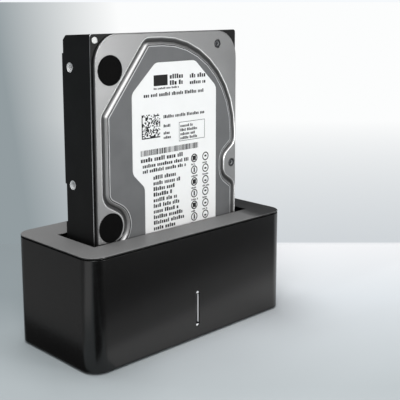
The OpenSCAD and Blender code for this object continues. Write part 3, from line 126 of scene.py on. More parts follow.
fold = 0.153
near_end, far_end = -0.1, 0.9
near_share, middle_share, far_share = 0.02, 0.14, 0.9
fold_line = 0.003
fan_reach = 0.445
shade_from, shade_to = -0.17, -0.02
shade_lean = 0.08
bpy.ops.object.select_all(action="DESELECT")
bpy.ops.mesh.primitive_plane_add(size=400)
floor = bpy.context.object
floor.name = "floor"
sheet = finish("floor_sheet", linear(190, 198, 201), 0.9)
tree = sheet.node_tree
split = tree.nodes.new("ShaderNodeSeparateXYZ")
tree.links.new(pattern_place(sheet, turn=(0, 0, -camera_turn)), split.inputs["Vector"])
ahead, across = split.outputs["Y"], split.outputs["X"]
away = tree.nodes.new("ShaderNodeMapRange")
away.inputs["From Min"].default_value = near_end
away.inputs["From Max"].default_value = far_end
tree.links.new(ahead, away.inputs["Value"])
fold_share = (fold - near_end) / (far_end - near_end)
tint(
    sheet,
    away.outputs["Result"],
    (near_share, linear(188, 195, 198)),
    (middle_share, linear(222, 227, 231)),
    (fold_share, linear(251, 252, 254)),
    (fold_share + fold_line, linear(208, 213, 217)),
    (far_share, linear(252, 253, 253)),
)
bright_side = tree.nodes["Color Ramp"].outputs["Color"]
tint(
    sheet,
    away.outputs["Result"],
    (near_share, linear(176, 184, 187)),
    (middle_share, linear(146, 156, 160)),
)
shade_side = tree.nodes["Color Ramp.001"].outputs["Color"]
fan = tree.nodes.new("ShaderNodeMapRange")
fan.inputs["From Min"].default_value = shade_from
fan.inputs["From Max"].default_value = shade_to
past = node_math(sheet, "SUBTRACT", ahead, fold)
lean = node_math(sheet, "MULTIPLY", past, shade_lean)
sideways = node_math(sheet, "ADD", across, lean)
from_point = node_math(sheet, "ADD", ahead, fan_reach)
tree.links.new(node_math(sheet, "DIVIDE", sideways, from_point), fan.inputs["Value"])
tone = tree.nodes.new("ShaderNodeMix")
tone.data_type = "RGBA"
tree.links.new(fan.outputs["Result"], tone.inputs["Factor"])
tree.links.new(shade_side, tone.inputs[6])
tree.links.new(bright_side, tone.inputs[7])
tree.links.new(tone.outputs[2], tree.nodes["Principled BSDF"].inputs["Base Color"])
glow = tree.nodes.new("ShaderNodeEmission")
tree.links.new(tone.outputs[2], glow.inputs["Color"])
ray = tree.nodes.new("ShaderNodeLightPath")
seen = node_math(sheet, "MAXIMUM", ray.outputs["Is Camera Ray"], ray.outputs["Is Glossy Ray"])
seen = node_math(sheet, "MAXIMUM", seen, ray.outputs["Is Transmission Ray"])
past_fold = node_math(sheet, "GREATER_THAN", ahead, fold)
choice = tree.nodes.new("ShaderNodeMixShader")
tree.links.new(node_math(sheet, "MULTIPLY", seen, past_fold), choice.inputs["Fac"])
tree.links.new(tree.nodes["Principled BSDF"].outputs["BSDF"], choice.inputs[1])
tree.links.new(glow.outputs["Emission"], choice.inputs[2])
tree.links.new(choice.outputs["Shader"], tree.nodes["Material Output"].inputs["Surface"])
floor.data.materials.append(sheet)
floor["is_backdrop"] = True


# Studio light: a key softbox above the camera, a wide one overhead, a small one low at the
# front right, and an even dim room. Dark and pale cards on the floor show only as
# reflections in the glossy sleeve, and a small flag shades the lid's right end.
def softbox(name, place, width, power):
    lamp = bpy.data.objects.new(name, bpy.data.lights.new(name, "AREA"))
    bpy.context.scene.collection.objects.link(lamp)
    lamp.data.size = width
    lamp.data.energy = power
    lamp.location = place
    target = Vector((0, 0, 80 * mm))
    lamp.rotation_euler = (target - Vector(place)).to_track_quat("-Z", "Y").to_euler()


softbox("softbox_right", (0.35, -1.1, 0.18), 0.24, 4.8)
softbox("softbox_key", (-0.6, -0.6, 0.8), 0.6, 6)
softbox("softbox_top", (0.0, 0.15, 1.1), 0.8, 8.8)
room_level = 0.12
room = bpy.data.worlds.new("room")
bpy.context.scene.world = room
room.use_nodes = True
tree = room.node_tree
backdrop = tree.nodes["Background"]
backdrop.inputs["Color"].default_value = (*linear(246, 249, 252), 1)
seen_room = tree.nodes.new("ShaderNodeMapRange")
seen_room.inputs["To Min"].default_value = room_level
seen_room.inputs["To Max"].default_value = 1.0
room_ray = tree.nodes.new("ShaderNodeLightPath")
tree.links.new(room_ray.outputs["Is Camera Ray"], seen_room.inputs["Value"])
tree.links.new(seen_room.outputs["Result"], backdrop.inputs["Strength"])


def card(name, tone, *corners, height=1 * mm):
    """A flat card over the floor, given by its four corners, that shows only in reflections."""
    bpy.ops.object.select_all(action="DESELECT")
    bpy.ops.mesh.primitive_plane_add(size=1)
    piece = bpy.context.object
    piece.name = name
    for vertex, (x, y) in zip(piece.data.vertices, corners):
        vertex.co = (x, y, height)
    piece.data.materials.append(finish(name + "_paper", linear(tone, tone, tone), 0.9))
    piece.visible_camera = False
    piece.visible_diffuse = False
    piece.visible_shadow = False
    piece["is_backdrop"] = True
    return piece


card("card_front", 4, (-0.2, -0.23), (0.3, -0.23), (-0.06, -0.08), (0.21, -0.128))
card("card_fade", 165, (-0.055, -0.079), (0.2, -0.125), (-0.055, -0.055), (0.2, -0.085))
card("card_strip", 252, (-0.05, -0.054), (0.2, -0.084), (-0.055, -0.035), (0.2, -0.035))
card("card_corner", 4, (-0.24, -0.17), (-0.2, -0.23), (-0.076, -0.042), (-0.06, -0.072))
card("card_middle", 4, (-0.65, -1.5), (0.0, -1.5), (-0.2, -0.23), (0.1, -0.23))
card("card_side", 140, (-0.09, -0.01), (-0.09, 0.4), (-0.4, 0.02), (-0.4, 0.4))
card("card_foot", 60, (-0.0705, -0.03), (-0.0705, 0.2), (-0.089, -0.01), (-0.089, 0.2))
card("card_left", 245, (-0.9, -0.7), (-0.135, -0.06), (-1.2, 0.01), (-0.135, 0.01))
card("card_right", 250, (0.55, -1.4), (1.1, -1.4), (0.1, -0.26), (0.22, -0.26))
flag_corners = (0.044, -0.042), (0.075, -0.042), (0.056, 0.036), (0.075, 0.036)
flag = card("flag_right", 4, *flag_corners, height=65 * mm)
flag.visible_glossy = False
flag.visible_shadow = True


# Housing: the dock's sleeve, moulded in one shot of black plastic with a fine sparked
# grain. Its edges are broken as the mould leaves them, and the front slit and the rear
# windows go through its wall. It clips over the base plate.
def activate(piece):
    bpy.ops.object.select_all(action="DESELECT")
    bpy.context.view_layer.objects.active = piece
    piece.select_set(True)


def merged_copy(node, name):
    piece = bpy.data.objects.new(name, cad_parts[node].data.copy())
    bpy.context.scene.collection.objects.link(piece)
    piece.data.materials.clear()
    activate(piece)
    bpy.ops.mesh.customdata_custom_splitnormals_clear()
    bpy.ops.object.mode_set(mode="EDIT")
    bpy.ops.mesh.select_all(action="SELECT")
    bpy.ops.mesh.remove_doubles(threshold=0.001 * mm)
    bpy.ops.mesh.dissolve_limited(angle_limit=math.radians(0.5))
    bpy.ops.object.mode_set(mode="OBJECT")
    return piece


def smooth(piece):
    activate(piece)
    bpy.ops.object.shade_smooth_by_angle(angle=math.radians(38))
    weights = piece.modifiers.new("weights", "WEIGHTED_NORMAL")
    weights.keep_sharp = True
    bpy.ops.object.modifier_apply(modifier="weights")


def round_edges(piece, width, steps=3, angle=28):
    activate(piece)
    rounding = piece.modifiers.new("rounding", "BEVEL")
    rounding.width = width
    rounding.segments = steps
    rounding.limit_method = "ANGLE"
    rounding.angle_limit = math.radians(angle)
    rounding.use_clamp_overlap = False
    bpy.ops.object.modifier_apply(modifier="rounding")
    smooth(piece)


def soft_copy(node, name, width):
    piece = merged_copy(node, name)
    round_edges(piece, width)
    return piece


def speckle(made, size, stretch=(1, 1, 1), detail=3.0):
    noise = made.node_tree.nodes.new("ShaderNodeTexNoise")
    noise.inputs["Scale"].default_value = 1 / size
    noise.inputs["Detail"].default_value = detail
    made.node_tree.links.new(pattern_place(made, stretch), noise.inputs["Vector"])
    return noise.outputs["Fac"]


def vary(made, pattern, socket, low, high):
    span = made.node_tree.nodes.new("ShaderNodeMapRange")
    span.inputs["From Min"].default_value = 0.3
    span.inputs["From Max"].default_value = 0.7
    span.inputs["To Min"].default_value = low
    span.inputs["To Max"].default_value = high
    shader = made.node_tree.nodes["Principled BSDF"]
    made.node_tree.links.new(pattern, span.inputs["Value"])
    made.node_tree.links.new(span.outputs["Result"], shader.inputs[socket])


def relief(made, pattern, height):
    bump = made.node_tree.nodes.new("ShaderNodeBump")
    bump.inputs["Distance"].default_value = height
    shader = made.node_tree.nodes["Principled BSDF"]
    made.node_tree.links.new(pattern, bump.inputs["Height"])
    made.node_tree.links.new(bump.outputs["Normal"], shader.inputs["Normal"])


def grained(name, dark, light, rough, grain, depth, metal=0.0, cloud=8 * mm, stretch=(1, 1, 1)):
    made = finish(name, dark, rough, metal)
    tint(made, speckle(made, cloud, stretch), (0.3, dark), (0.7, light))
    fine = speckle(made, grain, stretch)
    vary(made, fine, "Roughness", rough * 0.88, rough * 1.12)
    relief(made, fine, depth)
    return made


def sheen(made, level):
    made.node_tree.nodes["Principled BSDF"].inputs["Specular IOR Level"].default_value = level


def set_in(piece, made, body, slot, *nodes):
    if not piece.data.materials:
        piece.data.materials.append(made)
    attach(piece, body)
    if nodes:
        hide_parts(*nodes)


def dress(node, name, width, made, body, slot):
    """A copy of one node with softened edges takes the node's place."""
    set_in(soft_copy(node, name, width), made, body, slot, node)


housing = soft_copy("housing", "housing_sleeve", 0.25 * mm)
moulded_black = grained(
    "moulded_black", linear(5, 5, 5), linear(8, 8, 8),
    rough=0.25, grain=0.3 * mm, depth=0.004 * mm,
)
sheen(moulded_black, 0.55)
set_in(housing, moulded_black, "dock", "housing_black", "housing")

# Top cover: a moulded lid with the slot through it. Its rim stands on the sleeve with a
# fine shadow gap below. Its upper face is painted a mid grey, paler than the sleeve, as a
# painted sheen, and is more matt than the sleeve.
top_cover = soft_copy("top_cover", "top_cover_lid", 0.12 * mm)
# Painted sheen: a mid grey on the lid's upper face stands in for its sheen.
lid_painted_sheen = grained(
    "lid_painted_sheen", linear(108, 108, 108), linear(134, 134, 134),
    rough=0.5, grain=0.3 * mm, depth=0.01 * mm, cloud=0.5 * mm,
)
sheen(lid_painted_sheen, 0.35)
top_cover.data.materials.append(lid_painted_sheen)
top_cover.data.materials.append(moulded_black)
for part in top_cover.data.polygons:
    if abs(part.normal.z) < 0.5:
        part.material_index = 1
set_in(top_cover, lid_painted_sheen, "dock", "cover_black", "top_cover")

# Drive bay: the moulded chute under the slot, with guide ribs and a floor that is open
# round the connector. It hangs from the lid by four screws.
bay = soft_copy("drive_bay", "drive_bay_chute", 0.2 * mm)
chute_black = grained(
    "chute_black", linear(19, 19, 20), linear(24, 24, 24),
    rough=0.55, grain=0.4 * mm, depth=0.01 * mm,
)
set_in(bay, chute_black, "dock", "inner_black", "drive_bay")


# Light pipe: a bar of frosted acrylic in the front slit that carries the lamp's light out.
# Its nose is hollowed to a trough, and a flange behind the wall holds it. Its two flush
# white ends and the middle of the trough's side walls are painted highlights, and the
# trough's dark floor between them is painted shade.
def pick(piece, kind, test):
    activate(piece)
    bpy.ops.object.mode_set(mode="EDIT")
    bpy.ops.mesh.select_mode(type=kind)
    bpy.ops.mesh.select_all(action="DESELECT")
    bpy.ops.object.mode_set(mode="OBJECT")
    mesh = piece.data
    parts = mesh.edges if kind == "EDGE" else mesh.polygons
    for part in parts:
        part.select = all(test(mesh.vertices[i].co) for i in part.vertices)
    bpy.ops.object.mode_set(mode="EDIT")


pipe_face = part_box("light_pipe")[0].y
slit_low, slit_high = 7.2 * mm, 27 * mm
end_l, lit_l = 1.2 * mm, 2 * mm
trough_rim, trough_depth = 0.15 * mm, 1.1 * mm
light_pipe = merged_copy("light_pipe", "light_pipe_bar")
bpy.ops.object.mode_set(mode="EDIT")
for height in (slit_low + end_l, slit_low + lit_l, slit_high - lit_l, slit_high - end_l):
    bpy.ops.mesh.select_all(action="SELECT")
    bpy.ops.mesh.bisect(plane_co=(0, 0, height), plane_no=(0, 0, 1))
bpy.ops.object.mode_set(mode="OBJECT")
trough_low, trough_high = slit_low + end_l - 0.1 * mm, slit_high - end_l + 0.1 * mm
pick(
    light_pipe,
    "FACE",
    lambda p: p.y < pipe_face + 0.01 * mm and trough_low < p.z < trough_high,
)
bpy.ops.mesh.inset(thickness=trough_rim)
bpy.ops.mesh.extrude_region_move(TRANSFORM_OT_translate={"value": (0, trough_depth, 0)})
bpy.ops.object.mode_set(mode="OBJECT")
round_edges(light_pipe, 0.1 * mm, 2, 40)
pipe_white_and_highlight = grained(
    "acrylic_white_and_highlight", linear(250, 251, 252), linear(253, 254, 254),
    rough=0.3, grain=0.4 * mm, depth=0.002 * mm,
)
trough_shade = grained(
    "trough_painted_shade", linear(6, 6, 7), linear(9, 9, 10),
    rough=0.3, grain=0.4 * mm, depth=0.002 * mm,
)
light_pipe.data.materials.append(pipe_white_and_highlight)
light_pipe.data.materials.append(trough_shade)
# Painted shade on the trough's floor and rim; the white ends and the middle of the side walls are
# painted highlights.
for part in light_pipe.data.polygons:
    height = part.center.z
    between = slit_low + end_l + 0.05 * mm < height < slit_high - end_l - 0.05 * mm
    beside = slit_low + lit_l - 0.05 * mm < height < slit_high - lit_l + 0.05 * mm
    if between and not (beside and abs(part.normal.x) > 0.7):
        part.material_index = 1
set_in(light_pipe, pipe_white_and_highlight, "dock", "pipe_clear", "light_pipe")

# Status lamp: a white lamp in a moulded block, soldered flat on the main board right behind
# the light pipe.
lamp_white = grained(
    "lamp_white", linear(226, 228, 226), linear(242, 243, 240),
    rough=0.35, grain=0.2 * mm, depth=0.002 * mm,
)
dress("status_lamp", "status_lamp_block", 0.12 * mm, lamp_white, "dock", "lamp_white")

# Base plate and feet: a moulded plate closes the sleeve from below. Four round rubber
# feet are pressed into its recesses and hide the screws that hold the lid.
base_black = grained(
    "base_black", linear(24, 24, 25), linear(29, 29, 30),
    rough=0.5, grain=0.35 * mm, depth=0.012 * mm,
)
dress("base_plate", "base_plate_lid", 0.2 * mm, base_black, "dock", "inner_black")
foot_rubber = grained(
    "foot_rubber", linear(20, 20, 20), linear(31, 31, 31),
    rough=0.85, grain=0.25 * mm, depth=0.02 * mm,
)
dress("rubber_feet", "rubber_feet_discs", 0.25 * mm, foot_rubber, "dock", "foot_rubber")


# Dock screws: zinc-plated pan heads with a cross recess, driven from below. Four hold the
# lid's posts, four the bay's ears and four the main board.
def screw(name, head_r, head_h, shank_r, shank_l, arms, keep, waist, recess_r, recess_h):
    """One screw along +Z, its head's face at z 0; arms of the recess keep their full radius."""
    bpy.ops.object.select_all(action="DESELECT")
    bpy.ops.mesh.primitive_cylinder_add(
        vertices=48, radius=head_r, depth=head_h, location=(0, 0, head_h / 2)
    )
    piece = bpy.context.object
    piece.name = name
    bpy.ops.object.transform_apply(location=True, rotation=True, scale=True)
    pick(piece, "FACE", lambda p: p.z < 0.001 * mm)
    bpy.ops.mesh.inset(thickness=head_r - recess_r)
    bpy.ops.mesh.extrude_region_move(TRANSFORM_OT_translate={"value": (0, 0, recess_h)})
    bpy.ops.object.mode_set(mode="OBJECT")
    for vertex in piece.data.vertices:
        across = math.hypot(vertex.co.x, vertex.co.y)
        if across < recess_r * 1.01:
            turn = math.degrees(math.atan2(vertex.co.y, vertex.co.x)) % (360 / arms)
            if keep < turn < 360 / arms - keep:
                vertex.co.x *= waist
                vertex.co.y *= waist
    pick(
        piece,
        "FACE",
        lambda p: abs(p.z - head_h) < 0.001 * mm and math.hypot(p.x, p.y) > recess_r,
    )
    bpy.ops.mesh.inset(thickness=head_r - shank_r)
    bpy.ops.mesh.extrude_region_move(TRANSFORM_OT_translate={"value": (0, 0, shank_l)})
    bpy.ops.object.mode_set(mode="OBJECT")
    round_edges(piece, head_h * 0.12, 2, 40)
    return piece


def lay_out(model, places):
    """Copies of one piece at its places, joined under the piece's name."""
    copies = []
    for place in places:
        copy = bpy.data.objects.new(model.name, model.data.copy())
        bpy.context.scene.collection.objects.link(copy)
        copy.location = place
        copies.append(copy)
    name = model.name
    bpy.data.objects.remove(model)
    activate(copies[0])
    for copy in copies:
        copy.select_set(True)
    bpy.ops.object.join()
    bpy.ops.object.transform_apply(location=True, rotation=True, scale=True)
    bpy.context.object.name = name
    return bpy.context.object


def screw_set(model, places, tilt):
    """Copies of one screw, each turned about X and set with its head's face at its place."""
    activate(model)
    bpy.ops.object.mode_set(mode="EDIT")
    bpy.ops.mesh.select_all(action="SELECT")
    bpy.ops.transform.rotate(value=tilt, orient_axis="X", center_override=(0, 0, 0))
    bpy.ops.object.mode_set(mode="OBJECT")
    return lay_out(model, places)


zinc = grained(
    "zinc_plate", linear(150, 152, 156), linear(186, 187, 188),
    rough=0.3, grain=0.15 * mm, depth=0.003 * mm, metal=1.0,
)
for node, head_r, head_h, shank_r in (
    ("base_screws", 2.5, 1.5, 1.3),
    ("bay_screws", 2.0, 1.3, 1.0),
    ("board_screws", 2.0, 1.3, 1.0),
):
    low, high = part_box(node)
    spots = [
        (x, y, low.z)
        for x in (low.x + head_r * mm, high.x - head_r * mm)
        for y in (low.y + head_r * mm, high.y - head_r * mm)
    ]
    cross = screw(
        node + "_cross",
        head_r * mm,
        head_h * mm,
        shank_r * mm,
        high.z - low.z - head_h * mm,
        arms=4,
        keep=8,
        waist=0.42,
        recess_r=head_r * 0.55 * mm,
        recess_h=head_h * 0.6 * mm,
    )
    set_in(screw_set(cross, spots, 0), zinc, "dock", "screw_steel", node)


# Main board: green fibreglass with copper tracks under its mask. It carries the upright
# drive connector, the bridge chip and its crystal, two capacitors and the power coil.
def paint(node, made):
    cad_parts[node].material_slots[0].material = made


def board_green(name, turn):
    """Mask with copper tracks below it, for a lying board or, with turn, an upright one."""
    made = finish(name, linear(24, 84, 48), 0.35)
    tree = made.node_tree
    masks = []
    for axis, tracks, least in (("X", 620, 0.5), ("Z" if turn else "Y", 540, 0.56)):
        wave = tree.nodes.new("ShaderNodeTexWave")
        wave.bands_direction = axis
        wave.inputs["Scale"].default_value = tracks / 6.28
        tree.links.new(pattern_place(made), wave.inputs["Vector"])
        region = node_math(made, "GREATER_THAN", speckle(made, 7 * mm, detail=0), least)
        line = node_math(made, "GREATER_THAN", wave.outputs["Fac"], 0.72)
        masks.append(node_math(made, "MULTIPLY", region, line))
    copper = node_math(made, "MAXIMUM", *masks)
    tint(made, copper, (0.0, linear(18, 70, 40)), (1.0, linear(42, 112, 62)))
    relief(made, copper, 0.02 * mm)
    shader = tree.nodes["Principled BSDF"]
    shader.inputs["Coat Weight"].default_value = 0.4
    shader.inputs["Coat Roughness"].default_value = 0.15
    return made


board_mask = board_green("board_mask", False)
dress("main_board", "main_board_sheet", 0.1 * mm, board_mask, "dock", "board_green")
chip_black = grained(
    "chip_black", linear(24, 25, 26), linear(36, 37, 38),
    rough=0.5, grain=0.12 * mm, depth=0.004 * mm,
)
dress("bridge_chip", "bridge_chip_block", 0.12 * mm, chip_black, "dock", "chip_black")
can_metal = grained(
    "can_metal", linear(176, 178, 180), linear(204, 205, 206),
    rough=0.28, grain=0.1 * mm, depth=0.002 * mm, metal=1.0,
)
dress("crystal", "crystal_can", 0.3 * mm, can_metal, "dock", "can_metal")
sleeve_dark = grained(
    "capacitor_sleeve", linear(26, 27, 34), linear(34, 35, 44),
    rough=0.3, grain=0.3 * mm, depth=0.004 * mm,
)
dress("capacitors", "capacitor_cans", 0.35 * mm, sleeve_dark, "dock", "capacitor_sleeve")
ferrite = grained(
    "ferrite_grey", linear(44, 44, 46), linear(62, 62, 64),
    rough=0.6, grain=0.2 * mm, depth=0.02 * mm,
)
dress("power_inductor", "power_coil_block", 0.4 * mm, ferrite, "dock", "ferrite")
dress("sata_receptacle", "drive_socket", 0.15 * mm, chute_black, "dock", "inner_black")
contact_gold = grained(
    "contact_gold", linear(206, 160, 84), linear(228, 186, 110),
    rough=0.24, grain=0.1 * mm, depth=0.002 * mm, metal=1.0,
)
paint("sata_contacts", contact_gold)

# Data port: a square shell folded from plated sheet round a blue moulded insert, with a
# row of gold springs on each of its two tongues. It stands on the board's rear edge.
shell_nickel = grained(
    "shell_nickel", linear(188, 190, 192), linear(212, 213, 214),
    rough=0.25, grain=0.15 * mm, depth=0.002 * mm, metal=1.0, stretch=(1, 0.2, 1),
)
dress("usb_port_shell", "data_port_shell", 0.15 * mm, shell_nickel, "dock", "port_shell")
insert_blue = grained(
    "insert_blue", linear(28, 62, 138), linear(34, 72, 154),
    rough=0.4, grain=0.2 * mm, depth=0.004 * mm,
)
dress("usb_port_insert", "data_port_insert", 0.1 * mm, insert_blue, "dock", "port_insert")
port_x, port_face = 22 * mm, 32.6 * mm
spring_w, spring_l, spring_t = 0.6 * mm, 8 * mm, 0.14 * mm
spring_in = 5.8 * mm
lower_tongue = (11.5 * mm, 13.1 * mm)
upper_tongue = 16 * mm
spring_rows = [
    (lower_tongue[1] + spring_t / 2, (-1.25, 1.25)),
    (lower_tongue[0] - spring_t / 2, (-1.25, 1.25)),
    (upper_tongue - spring_t / 2, (-2, -1, 0, 1, 2)),
]
bpy.ops.object.select_all(action="DESELECT")
bpy.ops.mesh.primitive_cube_add(size=1, scale=(spring_w, spring_l, spring_t))
spring = bpy.context.object
spring.name = "data_port_springs"
bpy.ops.object.transform_apply(location=True, rotation=True, scale=True)
round_edges(spring, 0.05 * mm, 2)
spring_places = [
    (port_x + offset * mm, port_face - spring_in, height)
    for height, offsets in spring_rows
    for offset in offsets
]
springs = lay_out(spring, spring_places)
set_in(springs, contact_gold, "dock", "contact_gold")

# Power inlet: a black moulded barrel with a bright centre pin, whose tip is rounded to
# lead the plug in.
dress("dc_jack_body", "power_inlet_body", 0.2 * mm, chute_black, "dock", "inner_black")
pin_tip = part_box("dc_jack_pin")[1].y
inlet_pin = merged_copy("dc_jack_pin", "power_inlet_pin")
pick(inlet_pin, "EDGE", lambda p: p.y > pin_tip - 0.01 * mm)
bpy.ops.mesh.bevel(offset=0.6 * mm, segments=5, affect="EDGES")
bpy.ops.object.mode_set(mode="OBJECT")
smooth(inlet_pin)
pin_steel = grained(
    "pin_steel", linear(198, 199, 201), linear(222, 223, 224),
    rough=0.2, grain=0.12 * mm, depth=0.002 * mm, metal=1.0,
)
set_in(inlet_pin, pin_steel, "dock", "pin_steel", "dc_jack_pin")

# Power switch: a glossy rocker on an axle in a moulded frame. White paint marks its two
# ends with a bar for on and a ring for off.
dress("power_switch_body", "power_switch_frame", 0.2 * mm, chute_black, "dock", "inner_black")
rocker_black = grained(
    "rocker_black", linear(22, 22, 23), linear(26, 26, 27),
    rough=0.22, grain=0.25 * mm, depth=0.002 * mm,
)
dress("power_rocker", "power_rocker_key", 0.35 * mm, rocker_black, "rocker", "cover_black")
axle = Vector((-20 * mm, 29.6 * mm, 12.9 * mm))
rest_tilt = math.radians(9)
face_l, face_rise = 5.6 * mm, 1.05 * mm
face_out = 3.225 * mm
face_tilt = math.atan2(face_rise, face_l)
bar_size = (0.45 * mm, 0.1 * mm, 2.4 * mm)
ring_r, ring_line, ring_flat = 1.05 * mm, 0.2 * mm, 0.25
mark_white = grained(
    "mark_white", linear(222, 222, 220), linear(238, 238, 236),
    rough=0.6, grain=0.1 * mm, depth=0.002 * mm,
)


def rocker_face(side):
    """Middle of one half of the rocker's face, and that half's turn about Z."""
    along = side * face_l / 2
    x = along * math.cos(rest_tilt) - face_out * math.sin(rest_tilt)
    y = along * math.sin(rest_tilt) + face_out * math.cos(rest_tilt)
    return axle + Vector((x, y, 0)), rest_tilt + side * face_tilt


bar_place, bar_turn = rocker_face(-1)
bpy.ops.object.select_all(action="DESELECT")
bpy.ops.mesh.primitive_cube_add(
    size=1, location=bar_place, rotation=(0, 0, bar_turn), scale=bar_size
)
on_bar = bpy.context.object
on_bar.name = "switch_on_bar"
bpy.ops.object.transform_apply(location=True, rotation=True, scale=True)
round_edges(on_bar, 0.03 * mm, 2)
set_in(on_bar, mark_white, "rocker", "label_paper")
ring_place, ring_turn = rocker_face(1)
bpy.ops.object.select_all(action="DESELECT")
bpy.ops.mesh.primitive_torus_add(
    major_segments=40,
    minor_segments=10,
    major_radius=ring_r,
    minor_radius=ring_line,
    location=ring_place,
    rotation=(math.radians(90), 0, ring_turn),
)
off_ring = bpy.context.object
off_ring.name = "switch_off_ring"
bpy.ops.object.transform_apply(location=False, rotation=False, scale=True)
bpy.ops.transform.resize(value=(1, 1, ring_flat), orient_type="LOCAL")
bpy.ops.object.transform_apply(location=True, rotation=True, scale=True)
smooth(off_ring)
set_in(off_ring, mark_white, "rocker", "label_paper")

# Drive casting: a die-cast aluminium tub with a black coat, its top drafted and rounded to
# the back. The threads of its side holes are bare, and the rounded edge of its open face is
# painted bare metal as a painted highlight along that edge.
casting_low, casting_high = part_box("drive_casting")
drive_corner = Vector((casting_low.x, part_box("drive_label")[0].y, casting_low.z))


def on_drive(u, t, v):
    return drive_corner + Vector((u * mm, t * mm, v * mm))


casting = merged_copy("drive_casting", "drive_casting_tub")
top_back = max(v.co.y for v in casting.data.vertices if v.co.z > casting_high.z - 0.01 * mm)
run, drop, draft = 4 * mm, 2 * mm, math.radians(2.8)
hole_y = on_drive(0, 19.75, 0).y
hole_heights = [on_drive(0, 0, v).z for v in (28.5, 70.1, 130.1)]
hole_l, spot_r = 5.2 * mm, 2.42 * mm
glint_w = 0.29 * mm
cuts = [((0, casting_low.y, casting_high.z), (0, math.sin(draft), math.cos(draft)))]
for turn in (10, 26, 45, 64, 80):
    along, down = math.sin(math.radians(turn)), math.cos(math.radians(turn))
    on_round = (0, top_back - run * (1 - along), casting_high.z - drop * (1 - down))
    cuts.append((on_round, (0, along / run, down / drop)))
bpy.ops.object.mode_set(mode="EDIT")
for place, facing in cuts:
    bpy.ops.mesh.select_all(action="SELECT")
    bpy.ops.mesh.bisect(plane_co=place, plane_no=facing, use_fill=True, clear_outer=True)
bpy.ops.object.mode_set(mode="OBJECT")
round_edges(casting, 0.3 * mm)
coat_black = grained(
    "coat_black", linear(15, 15, 15), linear(20, 20, 20),
    rough=0.45, grain=0.5 * mm, depth=0.012 * mm,
)
sheen(coat_black, 0.25)
bare_metal_and_glint = grained(
    "bare_metal_and_glint", linear(186, 188, 190), linear(214, 215, 216),
    rough=0.3, grain=0.2 * mm, depth=0.004 * mm, metal=1.0,
)
bright_thread = grained(
    "bright_thread", linear(226, 227, 228), linear(246, 246, 246),
    rough=0.5, grain=0.3 * mm, depth=0.03 * mm, metal=0.3,
)
for made in (coat_black, bare_metal_and_glint, bright_thread):
    casting.data.materials.append(made)
for part in casting.data.polygons:
    middle = part.center
    in_spot = any(math.hypot(middle.y - hole_y, middle.z - z) < spot_r for z in hole_heights)
    at_side = middle.x < casting_low.x + hole_l or middle.x > casting_high.x - hole_l
    inside = casting_low.x + 0.05 * mm < middle.x < casting_high.x - 0.05 * mm
    # Painted highlight: the rounded edge of the open face is painted bright metal.
    edge_glint = middle.y < casting_low.y + glint_w and abs(part.normal.y) < 0.95
    if in_spot and at_side and inside:
        part.material_index = 2
    elif edge_glint:
        part.material_index = 1
set_in(casting, coat_black, "drive", "casting_black", "drive_casting")

# Motor, discs and arms: turned and stamped metal inside the sealed tub. The motor's base
# shows on the drive's back as a bright turned plate.
spindle = on_drive(50.8, 0, 96)


def turned(name, dark, light, rough, step):
    made = finish(name, dark, rough, 1.0)
    rings = made.node_tree.nodes.new("ShaderNodeTexWave")
    rings.wave_type = "RINGS"
    rings.rings_direction = "Y"
    rings.inputs["Scale"].default_value = 1 / step
    rings.inputs["Distortion"].default_value = 0.4
    centre = pattern_place(made, move=(-spindle.x, 0, -spindle.z))
    made.node_tree.links.new(centre, rings.inputs["Vector"])
    tint(made, rings.outputs["Fac"], (0.2, dark), (0.8, light))
    relief(made, rings.outputs["Fac"], 0.004 * mm)
    vary(made, speckle(made, 1.2 * mm), "Roughness", rough * 0.85, rough * 1.15)
    return made


turned_bright = turned("turned_bright", linear(176, 178, 181), linear(200, 201, 203), 0.3, 3 * mm)
dress("spindle_motor", "spindle_motor_base", 0.25 * mm, turned_bright, "drive", "machined")
paint("spindle_hub", turned_bright)
paint("disc_spacer", turned_bright)
paint("disc_clamp", turned_bright)
disc_mirror = turned("disc_mirror", linear(206, 208, 212), linear(212, 214, 218), 0.06, 1.2 * mm)
paint("platters", disc_mirror)
paint("pivot_post", pin_steel)
paint("actuator_arm", bare_metal_and_glint)
paint("magnet_yokes", can_metal)
coil_copper = grained(
    "coil_copper", linear(150, 82, 44), linear(190, 112, 64),
    rough=0.35, grain=0.2 * mm, depth=0.02 * mm, metal=1.0, stretch=(4, 1, 1),
)
paint("voice_coil", coil_copper)
gasket_rubber = grained(
    "gasket_rubber", linear(30, 30, 31), linear(40, 40, 41),
    rough=0.75, grain=0.3 * mm, depth=0.01 * mm,
)
paint("cover_gasket", gasket_rubber)

# Drive cover: steel sheet pressed with one closed stiffening channel and a dimple for each
# screw, left bare with the mill's fine satin. Six screws hold it on the tub. The channel
# and the dimples are painted lighter high on their walls and darker towards their floors,
# as painted highlight and painted shade.
cover_spots = [(10.5, 129.07), (9.4, 49.54), (85.6, 139.6), (97.2, 71.44), (4.4, 4.6), (97.2, 4.6)]
screw_clear = 3.6 * mm
flange_t, groove_t = 0.75, 1.65
flange_y, groove_y = on_drive(0, flange_t, 0).y, on_drive(0, groove_t, 0).y
cover = merged_copy("drive_cover", "drive_cover_pressing")


def press_edge(least, most, width, steps):
    """Round the flange's edges whose steeper side leans between two limits."""
    beside = {}
    for part in cover.data.polygons:
        for key in part.edge_keys:
            beside.setdefault(key, []).append(abs(part.normal.y))
    pick(cover, "EDGE", lambda p: False)
    bpy.ops.object.mode_set(mode="OBJECT")
    for edge in cover.data.edges:
        ends = [cover.data.vertices[i].co for i in edge.vertices]
        level = all(abs(p.y - flange_y) < 0.01 * mm for p in ends)
        leaning = least < min(beside[edge.key]) < most
        clear = all(
            (p - on_drive(u, flange_t, v)).length > screw_clear
            for p in ends
            for u, v in cover_spots
        )
        edge.select = level and leaning and clear
    bpy.ops.object.mode_set(mode="EDIT")
    bpy.ops.mesh.bevel(offset=width, segments=steps, affect="EDGES")
    bpy.ops.object.mode_set(mode="OBJECT")


